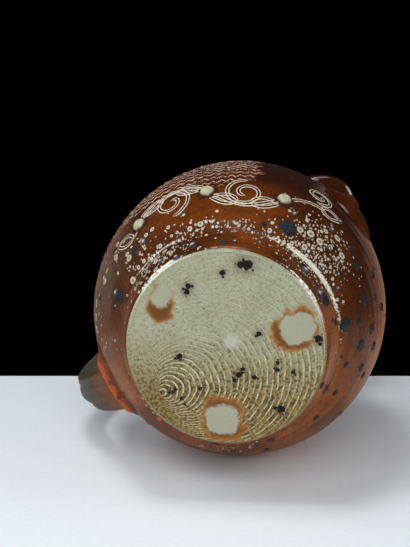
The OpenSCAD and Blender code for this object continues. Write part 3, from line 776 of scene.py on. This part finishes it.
# Face
# Chin, lips, nose and brows are rolls and pads of clay pressed on to the front wall and glazed with it.
# Each is a grid laid on the wall along a line, raised along its middle and given a seat inside the wall.
MOUTH_HEIGHT = 121.5
MOUTH_WIDTH = 40.0
CHIN_HEIGHT = 101.0
CHIN_WIDTH = 44.0
NOSE_BASE = 134.0
NOSE_LENGTH = 32.0
NOSE_RISE = 10.5
BROW_HEIGHT = 167.7
BROW_START = 7.5
BROW_LENGTH = 29.0
FACE_SEAT = -1.0


def chin_line(t):
    return CHIN_WIDTH * (t - 0.5), CHIN_HEIGHT + 3.0 * (1 - sine(t))


def chin_shape(t, s):
    return 1 + 9 * sine(t) ** 0.6, 5.5 * sine(t) ** 0.8 * (1 - s * s) ** 0.8


def upper_lip_line(t):
    return MOUTH_WIDTH * (t - 0.5), MOUTH_HEIGHT + 0.9 + 2.6 * sine(t) - 0.8 * bell(t - 0.5, 0.08)


def upper_lip_shape(t, s):
    return 0.7 + 2.2 * sine(t), 4.5 * sine(t) ** 0.7 * (1 - s * s) ** 0.6


def lower_lip_line(t):
    return MOUTH_WIDTH * (t - 0.5), MOUTH_HEIGHT - 0.9 - 3.1 * sine(t)


def lower_lip_shape(t, s):
    return 0.7 + 2.4 * sine(t), 4.5 * sine(t) ** 0.7 * (1 - s * s) ** 0.6


def nose_line(t):
    return 0.0, NOSE_BASE + NOSE_LENGTH * (1 - t)


def nose_shape(t, s):
    half = (12 + 14 * math.sin(math.pi / 2 * min(max(t, 0), 1)) ** 2.2) / 2
    tip = 1.0 if t < 0.8 else 0.12 + 0.88 * math.cos(math.pi / 2 * (t - 0.8) / 0.2)
    rise = (0.28 + 0.72 * min(max(t, 0) / 0.8, 1) ** 1.2) * NOSE_RISE * tip
    nostril = 2.4 * bell(t - 0.95, 0.035) * bell(abs(s) - 0.42, 0.14)
    return half, rise * (1 - s * s) ** 0.8 - nostril


def left_brow_line(t):
    return BROW_START + BROW_LENGTH * t, BROW_HEIGHT + 5.0 * math.sin(math.pi * (0.15 + 0.75 * t))


def right_brow_line(t):
    x, z = left_brow_line(t)
    return -x, z


def brow_shape(t, s):
    strokes = 0.45 * math.sin(42 * t + 3.2 * s)
    full = sine(0.08 + 0.9 * t)
    return 0.6 + 2.9 * full, (5.5 + strokes) * full ** 0.6 * (1 - s * s) ** 0.7


for node, line_of, shape, across in (
    ("chin", chin_line, chin_shape, 40),
    ("lower_lip", lower_lip_line, lower_lip_shape, 24),
    ("upper_lip", upper_lip_line, upper_lip_shape, 24),
    ("nose", nose_line, nose_shape, 48),
    ("brow_left", left_brow_line, brow_shape, 20),
    ("brow_right", right_brow_line, brow_shape, 20),
):
    bm = new_grid(90, across)
    seats = {}
    for v in bm.verts:
        t, s = (v.co.x + 1) / 2, v.co.y
        way = (Vector(line_of(t + 0.01)) - Vector(line_of(t - 0.01))).normalized()
        half, rise = shape(t, s)
        spot = Vector(line_of(t)) + s * half * Vector((-way.y, way.x))
        edge = -0.35 if abs(s) > 0.999 or t < 0.001 or t > 0.999 else 0.35
        v.co = on_wall(0, spot.x, spot.y, edge + rise)
        seats[v.co.to_tuple(5)] = on_wall(0, spot.x, spot.y, FACE_SEAT)
    for v in close_sheet(bm):
        v.co = seats[v.co.to_tuple(5)]
    piece = new_piece(bm, "face_" + node, salt_glaze)
    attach(piece, "root")
    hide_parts(node)

# Eyes
# Balls of pale clay set into the wall, each under an upper and a lower lid of the dark clay. A sphere is
# cut off inside the wall and the pupil pressed in; the lids are cut from a larger sphere and thickened.
EYE_HEIGHT = 157.0
EYE_OFFSET = 19.0
EYE_RADIUS = 9.5
EYE_DEPTH = 2.0
EYE_CUT = -1.0
PUPIL_RADIUS = 2.3
PUPIL_DEPTH = 1.6
IRIS_RADIUS = 4.3
IRIS_DEPTH = 0.35
LID = 1.7
LID_GAP = 0.15
UPPER_LID_ANGLE = math.radians(11)
LOWER_LID_ANGLE = math.radians(21)

# Pale slip glaze: light olive clay under clear glaze, glassy, with brown flecks and hollows.
pale_slip, add, place, pupil = new_material("pale_slip_glaze", "relief")
clouds = add("TexNoise", place, 1000 / 4, 4.0)
fine = add("TexNoise", place, 1000 / 0.8, 2.0)
fleck = add("MapRange", fine, 0.62, 0.72, 0.0, 0.7)
colour = add("Mix", clouds, "#8c8d72", "#bdbb9f", data_type="RGBA")
for share, code in ((fleck, "#6a5a3a"), (pupil, "#3a1d0e")):
    colour = add("Mix", share, colour, code, data_type="RGBA")
finish_material(add, colour, roughness=0.16, ior=1.52, relief=fine, strength=0.25, depth=0.2)


def wall_seat(turn, radius, z):
    # Places what was modelled flat, with z outwards, on the wall.
    return (
        Matrix.Rotation(turn, 4, "Z")
        @ Matrix.Translation((0, -radius, z))
        @ Matrix.Rotation(math.pi / 2 + math.atan(wall_slope(z)), 4, "X")
    )


for name, way in (("left", 1), ("right", -1)):
    eye_radius = wall_radius(EYE_HEIGHT)
    socket = wall_seat(way * EYE_OFFSET / eye_radius, eye_radius, EYE_HEIGHT)
    socket = socket @ Matrix.Translation((0, 0, -EYE_DEPTH))
    for part, up, lean in (
        ("eyeball", 0, 0.0),
        ("upper_lid", 1, UPPER_LID_ANGLE),
        ("lower_lid", -1, LOWER_LID_ANGLE),
    ):
        is_ball = part == "eyeball"
        bm = bmesh.new()
        radius = EYE_RADIUS if is_ball else EYE_RADIUS + LID_GAP
        bmesh.ops.create_uvsphere(bm, u_segments=64, v_segments=48, radius=radius)
        cuts = [((0, 0, EYE_CUT), (0, 0, 1))]
        if is_ball:
            iris = bm.verts.layers.float.new("relief")
            for v in bm.verts:
                off = math.hypot(v.co.x, v.co.y)
                if v.co.z > 0:
                    v[iris] = smooth(PUPIL_RADIUS, 1.8, off) + 0.55 * bell(off - IRIS_RADIUS, 0.45)
                    v.co.z -= PUPIL_DEPTH * smooth(2.4, 1.2, off)
                    v.co.z -= IRIS_DEPTH * bell(off - IRIS_RADIUS, 0.5)
        else:
            cuts.insert(0, ((0, 0, 0), (0, up * math.cos(lean), -math.sin(lean))))
        for point, normal in cuts:
            whole = bm.verts[:] + bm.edges[:] + bm.faces[:]
            bmesh.ops.bisect_plane(bm, geom=whole, plane_co=point, plane_no=normal, clear_inner=True)
        if is_ball:
            bmesh.ops.holes_fill(bm, edges=[e for e in bm.edges if e.is_boundary], sides=0)
        else:
            bmesh.ops.recalc_face_normals(bm, faces=bm.faces)
            if sum(f.normal.dot(f.calc_center_median()) for f in bm.faces) < 0:
                bmesh.ops.reverse_faces(bm, faces=bm.faces)
            bmesh.ops.remove_doubles(bm, verts=bm.verts, dist=0.02)
            bmesh.ops.solidify(bm, geom=bm.faces[:], thickness=-LID)
            bmesh.ops.dissolve_degenerate(bm, dist=0.002, edges=bm.edges)
        bmesh.ops.transform(bm, matrix=socket, verts=bm.verts)
        piece = new_piece(bm, f"face_{part}_{name}", pale_slip if is_ball else salt_glaze)
        piece.data.set_sharp_from_angle(angle=math.radians(60))
        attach(piece, "root")
        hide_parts(f"{part}_{name}")

# Bosses
# Three pellets of pale clay pressed on the side wall, each with a thumb dimple, glazed glassy cream.
# A profile is spun, fluted round its skirt and set on the wall along its normal.
BOSS_HEIGHT = 50.0
BOSS_RADIUS = 7.0
BOSS_RISE = 3.5
BOSS_SEAT = -1.5
BOSS_SKIRT = 1.3
DIMPLE_DEPTH = 0.8
DIMPLE_RADIUS = 1.5
PELLET = 0.62
FLUTES = 9
FLUTE_DEPTH = 0.55
for node, turn in (("boss_front", -27.0), ("boss_middle", -59.0), ("boss_rear", -91.0)):
    outline = [(0.0, BOSS_SEAT), (BOSS_RADIUS, BOSS_SEAT)]
    for i in range(25):
        k = 1 - i / 24
        skirt = BOSS_SKIRT * math.sqrt(max(1 - k * k, 0))
        pellet = (BOSS_RISE - 1.0) * math.sqrt(max(1 - (k / PELLET) ** 2, 0))
        pellet -= DIMPLE_DEPTH * bell(k * BOSS_RADIUS, DIMPLE_RADIUS)
        outline.append((k * BOSS_RADIUS, skirt + max(pellet, 0) - 0.3))
    bm = spin_profile(outline, 48)
    skirt_layer = bm.verts.layers.float.new("relief")
    for v in bm.verts:
        k = math.hypot(v.co.x, v.co.y) / BOSS_RADIUS
        flute = 0.5 + 0.5 * math.cos(FLUTES * math.atan2(v.co.y, v.co.x))
        v[skirt_layer] = smooth(PELLET - 0.06, PELLET + 0.02, k)
        if v.co.z > -0.4:
            v.co.z -= FLUTE_DEPTH * flute * smooth(PELLET, PELLET + 0.12, k) * smooth(1.0, 0.92, k)
        v.co *= 1 + 0.04 * noise.noise(v.co / 4 + Vector((turn, 0, 0)))
    seat = wall_seat(math.radians(turn), outer_radius(turn, BOSS_HEIGHT), BOSS_HEIGHT)
    bmesh.ops.transform(bm, matrix=seat, verts=bm.verts)
    piece = new_piece(bm, "side_" + node, pale_slip)
    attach(piece, "root")
    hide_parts(node)

# Combed hair
# Wet slip on both sides of the head, combed in rows of small arches that look knitted. Each side is a
# grid laid in a shallow hollow of the wall, with grooves pressed in, and closed behind.
HAIR_ROW = 6.0
HAIR_ARCH = 5.4
HAIR_SWAY = 0.17
HAIR_DEPTH = 0.85
HAIR_LEAN = 0.10
HAIR_RADIUS = 88.0
HAIR_SEAT = -1.6

# Combed slip: red-brown salt glaze whose comb line in each row is darkened as painted shade, edged by pale
# burrs of slip.
combed_slip, add, place, row, arc, grown = new_material("combed_slip_glaze", "row", "arc", "grown")
clouds = add("TexNoise", place, 1000 / 20, 4.0)
broken = add("TexNoise", place, 1000 / 2.2, 3.0)
sway = add("Math", arc, 2 * math.pi / HAIR_ARCH, operation="MULTIPLY")
sway = add("Math", sway, operation="SINE")
sway = add("Math", sway, HAIR_SWAY, operation="MULTIPLY")
part = add("Math", row, operation="FRACT")
part = add("Math", part, 0.5, operation="SUBTRACT")
part = add("Math", part, sway, operation="SUBTRACT")
part = add("Math", part, operation="ABSOLUTE")
beside = add("Math", part, 0.17, operation="SUBTRACT")
beside = add("Math", beside, operation="ABSOLUTE")
strength = add("MapRange", broken, 0.35, 0.6, 0.1, 0.85)
strength = add("Math", strength, grown, operation="MULTIPLY")
burr = add("MapRange", beside, 0.08, 0.03, 0.0, strength)
# The comb line's dark is painted shade.
cleft_shade = add("MapRange", part, 0.13, 0.05, 0.0, grown)
colour = add("Mix", clouds, "#321207", "#5e2811", data_type="RGBA")
for share, code in ((cleft_shade, "#1c0d07"), (burr, "#c4b29c")):
    colour = add("Mix", share, colour, code, data_type="RGBA")
finish_material(add, colour, roughness=0.2, ior=1.5, relief=broken, strength=0.3, depth=0.2)

for name, side in (("combed_hair_right", -1), ("combed_hair_left", 1)):
    bm = new_grid(220, 140)
    row_layer, arc_layer, grown_layer = (bm.verts.layers.float.new(key) for key in ("row", "arc", "grown"))
    for v in bm.verts:
        k, climb = (v.co.x + 1) / 2, (v.co.y + 1) / 2
        z = 60 + 130 * climb
        turn = 40 + 130 * k
        for repeat in range(3):
            front, back, low, top = hair_edges(side, turn, z)
            z = low + (top - low) * climb
            turn = front + (back - front) * k
        v[grown_layer] = smooth(0.0, 2.5, hair_inside(side * turn, z))
        v[arc_layer] = arc = math.radians(turn) * HAIR_RADIUS
        v[row_layer] = row = (z + HAIR_LEAN * arc) / HAIR_ROW
        part = abs(row - math.floor(row) - 0.5 - HAIR_SWAY * math.sin(2 * math.pi * arc / HAIR_ARCH))
        cut = 0.7 * bell(part, 0.13) - 0.29 * bell(part - 0.2, 0.12)
        v.co = on_wall(side * turn, 0, z, -0.25 - v[grown_layer] * HAIR_DEPTH * cut)
    seat_in_wall(bm, HAIR_SEAT)
    hair = new_piece(bm, name, combed_slip)
    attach(hair, "root")

# Scratched vine
# A running vine scratched through the wet slip between the bosses, with a curl and leaves in each bend.
# Each stroke is a strip with a dark groove between two pale burrs, laid along its path on the wall.
VINE_HEIGHT = 50.0
VINE_SWING = 12.0
VINE_STEP = 32.0
VINE_PHASE = 27.0
VINE_START = -10.0
VINE_END = -96.0
FIRST_LEAF = -12.0
BENDS = ((-43.0, 1), (-75.0, -1))
BEND_CURL = 13.0
STROKE = 1.6
STROKE_STEP = 1.0
BURR_RISE = 0.42
ARC_RADIUS = 84.0
VINE_SEAT = -0.9


def vine_point(turn, shift):
    bend = math.pi * (turn + VINE_PHASE) / VINE_STEP
    along = math.radians(turn) * ARC_RADIUS
    z = VINE_HEIGHT + VINE_SWING * math.sin(bend)
    climb = VINE_SWING * math.cos(bend) * math.pi / math.radians(VINE_STEP) / ARC_RADIUS
    lean = Vector((1, climb)).normalized()
    return Vector((along, z)) + shift * Vector((-lean.y, lean.x))


def curl(centre, size, start, turns):
    count = int(turns * 36)
    path = []
    for i in range(count + 1):
        a = start + 2 * math.pi * turns * i / count
        r = size * (1 - 0.78 * i / count)
        path.append(centre + Vector((r * math.cos(a), r * math.sin(a))))
    return path


def leaf(root, reach, fat):
    middle = reach.orthogonal().normalized() * fat
    sides = []
    for way in (1, -1):
        bulges = [0.03 + math.sin(math.pi * (k / 12) ** 0.8) for k in range(13)]
        sides.append([root + reach * k / 12 + way * middle * bulge for k, bulge in enumerate(bulges)])
    return sides


strokes = [[vine_point(VINE_START + (VINE_END - VINE_START) * i / 120, 0) for i in range(121)]]
for turn, way in BENDS:
    heart = Vector((math.radians(turn) * ARC_RADIUS, VINE_HEIGHT + way * (VINE_SWING - BEND_CURL)))
    strokes.append(curl(heart, BEND_CURL, way * math.pi / 2, 1.5))
    for side in (-1, 1):
        strokes += leaf(vine_point(turn + 3.0 * side, way * 2.0), Vector((18.0 * side, way * 4.5)), 3.6)
strokes += leaf(vine_point(FIRST_LEAF, 0), Vector((14.0, 3.0)), 3.8)
strokes += leaf(vine_point(VINE_END, 0), Vector((-13.0, 9.0)), 3.8)
strokes.append(curl(vine_point(FIRST_LEAF, 0) + Vector((-4.0, 13.0)), 9.0, -math.pi / 2, 1.4))

bm = bmesh.new()
relief_layer = bm.verts.layers.float.new("relief")
for path in strokes:
    lengths = [0.0]
    for a, b in zip(path, path[1:]):
        lengths.append(lengths[-1] + (b - a).length)
    count = max(6, int(lengths[-1] / STROKE_STEP))
    made = bmesh.ops.create_grid(bm, x_segments=count, y_segments=10, size=1)
    for v in made["verts"]:
        reach = lengths[-1] * (v.co.x + 1) / 2
        i = max(j for j in range(len(path) - 1) if lengths[j] <= reach + 1e-6)
        k = (reach - lengths[i]) / (lengths[i + 1] - lengths[i])
        way = (path[min(i + 2, len(path) - 1)] - path[max(i - 1, 0)]).normalized()
        across = v.co.y
        taper = 0.35 + 0.65 * smooth(0, 3.0, min(reach, lengths[-1] - reach))
        spot = path[i].lerp(path[i + 1], k) + across * STROKE * taper * Vector((-way.y, way.x))
        burr = bell(abs(across) - 0.58, 0.24)
        rough = 0.6 + 0.8 * abs(noise.noise(Vector((spot.x, spot.y, 3)) / 1.3))
        lift = 0.05 + BURR_RISE * burr * rough * taper - 0.35 * smooth(0.85, 1.0, abs(across))
        v[relief_layer] = burr * 1.1 - 1.1 * bell(across, 0.3)
        v.co = on_wall(math.degrees(spot.x / ARC_RADIUS), 0, spot.y, lift)
seat_in_wall(bm, VINE_SEAT)

# Scratched slip: cream burrs of slip beside a groove that filled with dark glaze, glossy over both.
scratch, add, place, relief = new_material("scratched_slip", "relief")
broken = add("TexNoise", place, 1000 / 1.6, 3.0)
edge = add("MapRange", broken, 0.3, 0.7, -0.05, 0.55)
pale = add("MapRange", relief, edge, 0.9)
dark = add("MapRange", relief, 0.0, -0.7, 0.0, 0.9)
colour = add("Mix", broken, "#3a1b0c", "#6b3515", data_type="RGBA")
for share, code in ((dark, "#1c100a"), (pale, "#d2cbb8")):
    colour = add("Mix", share, colour, code, data_type="RGBA")
finish_material(add, colour, roughness=0.24, ior=1.52, relief=broken, strength=0.3, depth=0.2)
scratched_vine = new_piece(bm, "scratched_vine", scratch)
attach(scratched_vine, "root")

# Kiln drops
# Dark blue glass that fell from the kiln roof and melted on the wall, and flat iron spots on the base.
# Spheres are flattened on the wall; the spots are ragged discs that follow the cut clay.
STREWN = 90
GOLDEN_ANGLE = 137.508
HEIGHT_STEP = 0.754878
SIZE_STEP = 0.569840
SPOT_TOP = 1.2
# Drops on the wall: turn, height and radius. More of them are strewn thinly over the rest.
WALL_DROPS = (
    (-21, 31, 5.2), (16, 12, 4.6), (34, 25, 4.2), (-119, 26, 4.4), (14, 50, 3.2), (7, 56, 3.0), (28, 45, 3.4),
    (47, 39, 3.8), (42, 51, 3.2), (50, 57, 3.2), (-4, 14, 3.0), (11, 8, 2.8), (63, 3, 2.4), (68, 17, 3.4),
    (116, 40, 3.0), (110, 24, 2.4), (-66, 8, 2.8), (-50, 6, 2.2), (28, 12, 1.4), (-98, 34, 2.6),
    (22, 66, 2.8), (36, 70, 2.8), (58, 46, 2.8), (55, 28, 2.0), (86, 30, 2.4), (140, 22, 2.2),
    (36, 36, 2.4), (30, 60, 2.4),
)
MILKY_DROPS = (
    (-4, 52, 2.2), (-3, 66, 2.4), (-21, 43, 2.0), (4, 25, 1.6), (-3, 13, 3.2), (11, 9, 3.2), (0, 38, 1.6),
    (11, 32, 1.4), (16, 27, 1.4), (-92, 35, 2.4), (-50, 6, 2.0), (-87, 10, 2.4), (-77, 3, 2.2), (-67, 9, 3.0),
    (-119, 31, 2.4), (-44, 8, 1.4), (-31, 12, 1.4),
)
drops = list(MILKY_DROPS + WALL_DROPS)
for i in range(STREWN):
    turn = (i * GOLDEN_ANGLE) % 360 - 180
    z = 6 + 168 * ((i * HEIGHT_STEP) % 1)
    size = 0.9 + 1.5 * ((i * SIZE_STEP) % 1) ** 2
    on_vine = -106 < turn < -4 and 28 < z < 74
    on_face = abs(turn) < 34 and z > 92
    if hair_inside(turn, z) < -3 and not on_vine and not on_face:
        drops.append((turn, z, size))
bm = bmesh.new()
edge_layer = bm.verts.layers.float.new("relief")
milk_layer = bm.verts.layers.float.new("milk")
for number, (turn, z, size) in enumerate(drops):
    made = bmesh.ops.create_uvsphere(bm, u_segments=20, v_segments=12, radius=1)
    for v in made["verts"]:
        wide = size * (1 + 0.3 * noise.noise(Vector((v.co.x, v.co.y, number)) * 1.7))
        v[edge_layer] = math.hypot(v.co.x, v.co.y)
        v[milk_layer] = 1.0 if number < len(MILKY_DROPS) else 0.0
        v.co = on_wall(turn, v.co.x * wide, z + v.co.y * wide, 0.42 * size ** 0.7 * v.co.z - 0.05)

# Kiln glass: near-black blue drops, wet and shiny, that thin out to a brown rim. The milky ones are
# pale in the middle.
kiln_glass, add, place, out, milk = new_material("kiln_drop_glass", "relief", "milk")
clouds = add("TexNoise", place, 1000 / 1.6, 3.0)
thin = add("MapRange", out, 0.5, 1.0, 0.0, 0.9)
eye = add("MapRange", out, 0.25, 0.45)
colour = add("Mix", clouds, "#0d0f13", "#333c48", data_type="RGBA")
milky = add("Mix", eye, "#b4ae9c", "#55535a", data_type="RGBA")
colour = add("Mix", milk, colour, milky, data_type="RGBA")
colour = add("Mix", thin, colour, "#33221a", data_type="RGBA")
shader = add("BsdfPrincipled", sockets={"Base Color": colour, "Roughness": 0.08, "IOR": 1.52})
add("OutputMaterial", shader)
kiln_drops = new_piece(bm, "kiln_drops", kiln_glass)

spots = list(BASE_SPOTS)
for number, (x, y, size) in enumerate(BASE_SPOTS):
    for k in range(2):
        a = 2.4 * number + 2.1 * k
        spots.append((x + 1.3 * size * math.cos(a), y + 1.3 * size * math.sin(a), (0.25 + 0.25 * k) * size))
bm = bmesh.new()
for number, (x, y, size) in enumerate(spots):
    made = bmesh.ops.create_grid(bm, x_segments=10, y_segments=10, size=1)
    for v in made["verts"]:
        a = math.atan2(v.co.y, v.co.x)
        share = max(abs(v.co.x), abs(v.co.y))
        ragged = 1 + 0.5 * noise.noise(Vector((math.cos(a) * 1.1, math.sin(a) * 1.1, 5.0 * number)))
        px, py = x + share * size * ragged * math.cos(a), y + share * size * ragged * math.sin(a)
        v.co = (px, py, max(under_height(px, py) + (0.06 if share > 0.99 else -0.05), 0.02))
for v in close_sheet(bm):
    v.co.z = SPOT_TOP

# Iron spots: blotches of melted iron in the bare clay, brown-black and only half glossy.
iron, add, place = new_material("iron_spot_glaze")
clouds = add("TexNoise", place, 1000 / 1.2, 3.0)
colour = add("Mix", clouds, "#0a0808", "#241a17", data_type="RGBA")
shader = add("BsdfPrincipled", sockets={"Base Color": colour, "Roughness": 0.55, "IOR": 1.3})
add("OutputMaterial", shader)
iron_spots = new_piece(bm, "iron_spots", iron)
for piece in (kiln_drops, iron_spots):
    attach(piece, "root")

# Studio
# The jug is shown lying on its side on a pale table, base to the viewer, before a dark backdrop. The
# camera and the table are set round the upright jug; a floor under it shows only from above.
CAMERA_TILT = 167.75
CAMERA_ROLL = -6.41
CAMERA_TURN = -48.0
CAMERA_PLACE = (-97.0, -170.0, -652.0)
LONG_SIDE_ANGLE = 26.0
SENSOR = 36.0
camera_data = bpy.data.cameras.new("studio_camera")
camera_data.sensor_fit = "AUTO"
camera_data.sensor_width = SENSOR
camera_data.lens = SENSOR / 2 / math.tan(math.radians(LONG_SIDE_ANGLE / 2))
camera_data.clip_start = 0.01
camera_data.clip_end = 50
camera = bpy.data.objects.new("studio_camera", camera_data)
to_view = Euler([math.radians(a) for a in (CAMERA_TILT, CAMERA_ROLL, CAMERA_TURN)]).to_matrix()
camera.matrix_world = Matrix.Translation(Vector(CAMERA_PLACE) * MM) @ to_view.to_4x4()
bpy.context.scene.collection.objects.link(camera)
bpy.context.scene.camera = camera

TABLE_UP = Vector((-0.743, -0.669, 0.0)).normalized()
TABLE_ACROSS = Vector((0, 0, 1)).cross(TABLE_UP)
TABLE_HALF = 900.0
TABLE_DROP = 94.6
TABLE_BACK = 253.0
TABLE_FRONT = -500.0
TABLE_SKEW = 0.112

# Painted board, matt and pale blue-grey. It shows only to a camera that looks up through the floor or the
# veil, as the main one does, and the glaze mirrors it faintly.
table_paint, add, place = new_material("pale_table_board")
grain = add("TexNoise", place, 1000 / 3, 2.0)
colour = add("Mix", grain, "#d3d9de", "#dde3e8", data_type="RGBA")
board = add("BsdfPrincipled", sockets={"Base Color": colour, "Roughness": 0.45})
path = add("LightPath").outputs
facing = add("NewGeometry").outputs["Backfacing"]
veiled = add("Math", path["Transparent Depth"], 0.5, operation="LESS_THAN")
hidden = add("Math", path["Is Camera Ray"], veiled, operation="MULTIPLY")
dimmed = add("Math", path["Is Glossy Ray"], 0.72, operation="MULTIPLY")
for other in (path["Is Shadow Ray"], path["Is Diffuse Ray"], facing, dimmed):
    hidden = add("Math", hidden, other, operation="MAXIMUM")
mixed = add("MixShader", hidden, board, add("BsdfTransparent"))
add("OutputMaterial", mixed)

bm = new_grid(1, 1)
for v in bm.verts:
    across = TABLE_HALF * v.co.x
    depth = TABLE_BACK + TABLE_SKEW * across if v.co.y > 0 else TABLE_FRONT
    v.co = -TABLE_UP * TABLE_DROP + TABLE_ACROSS * across + Vector((0, 0, depth))
bm.faces.ensure_lookup_table()
bmesh.ops.recalc_face_normals(bm, faces=bm.faces)
if bm.faces[0].normal.dot(TABLE_UP) < 0:
    bmesh.ops.reverse_faces(bm, faces=bm.faces)
new_object(bm, "table", table_paint)

# Paper floor, matt and pale, that brightens into the backdrop. It shows only from above; from below it is
# clear, and so is the veil, a smaller sheet under it.
floor_paint, add, place = new_material("pale_floor")
grain = add("TexNoise", place, 1000 / 3, 2.0)
colour = add("Mix", grain, "#d6d7da", "#dfe0e3", data_type="RGBA")
board = add("BsdfDiffuse", colour)
far = add("Emission", "#dcdde0", 1.0)
reach = add("VectorMath", place, operation="LENGTH")
fade = add("MapRange", reach, 0.25, 0.8, interpolation_type="SMOOTHSTEP")
board = add("MixShader", fade, board, far)
not_seen = add("Math", 1.0, add("LightPath").outputs["Is Camera Ray"], operation="SUBTRACT")
facing = add("NewGeometry").outputs["Backfacing"]
hidden = add("Math", not_seen, facing, operation="MAXIMUM")
mixed = add("MixShader", hidden, board, add("BsdfTransparent"))
add("OutputMaterial", mixed)
for name, half, height in (("floor", 3000.0, 0.0), ("veil", 600.0, -300.0)):
    bm = new_grid(1, 1, half)
    bmesh.ops.translate(bm, vec=(0, 0, height), verts=bm.verts)
    new_object(bm, name, floor_paint)

# The backdrop is pale from the side and black from below; what it sheds on the jug is dim and cool.
world = bpy.data.worlds.new("studio_world")
bpy.context.scene.world = world
add = new_tree(world)
way = add("SeparateXYZ", add("TexCoord").outputs["Generated"])
overhead = add("Math", way.outputs["Z"], 0.8, operation="GREATER_THAN")
seen = add("Mix", overhead, "#dcdde0", "#000000", data_type="RGBA")
path = add("LightPath").outputs
backdrop = add("Background", seen, 1.0)
dim = add("MapRange", path["Is Glossy Ray"], 0.0, 1.0, 0.26, 0.03)
ambient = add("Background", "#c2ccd6", dim)
mixed = add("MixShader", path["Is Camera Ray"], ambient, backdrop)
add("OutputWorld", mixed)

# Soft boxes, placed as the viewer sees them: x right, y up, z towards the viewer, in millimetres from
# the jug's middle, then width, height and power. Two stand for the table's own light and for a lamp over
# the upright jug. The strips show only as reflections in the wall, warm in the two behind the jug.
middle = Vector((0, 0, 100))
polished = bpy.data.collections.new("polished_edge")
polished.objects.link(thrown_wall)
for name, spot, wide, high, power in (
    ("softbox_left", (-640, 600, 250), 520, 520, 2.8),
    ("softbox_right", (860, 200, 200), 400, 400, 2.6),
    ("softbox_top", (-190, 940, 240), 260, 260, 4.3),
    ("softbox_front", (-120, 320, 950), 900, 600, 6.9),
    ("softbox_side", (620, -60, -760), 200, 500, 9.0),
    ("softbox_low", (-850, -20, 250), 300, 300, 1.6),
    ("softbox_table", (0, -700, 250), 800, 800, 3.8),
    ("softbox_above", (-110, -250, -1150), 1100, 1100, 16.0),
    ("strip_left", (-795, 510, 200), 560, 260, 5.0),
    ("strip_right", (840, 270, 400), 560, 260, 5.0),
    ("strip_top", (-60, 900, 330), 460, 60, 1.6),
    ("strip_behind_right", (460, 0, -700), 700, 700, 0.38),
    ("strip_behind_left", (-460, -60, -700), 700, 700, 0.34),
):
    lamp_data = bpy.data.lights.new(name, "AREA")
    lamp_data.shape = "RECTANGLE"
    lamp_data.size = wide * MM
    lamp_data.size_y = high * MM
    lamp_data.energy = power
    if "behind" in name:
        lamp_data.color = linear("#ffcbaa")[:3]
    lamp = bpy.data.objects.new(name, lamp_data)
    is_strip = name.startswith("strip")
    lamp.visible_camera = False
    lamp.visible_diffuse = not is_strip
    lamp.visible_glossy = is_strip or name == "softbox_front"
    if is_strip:
        lamp.light_linking.receiver_collection = polished
    place = middle + to_view @ Vector(spot)
    aim = (middle - place).to_track_quat("-Z", "Y")
    lamp.matrix_world = Matrix.Translation(place * MM) @ aim.to_matrix().to_4x4()
    bpy.context.scene.collection.objects.link(lamp)
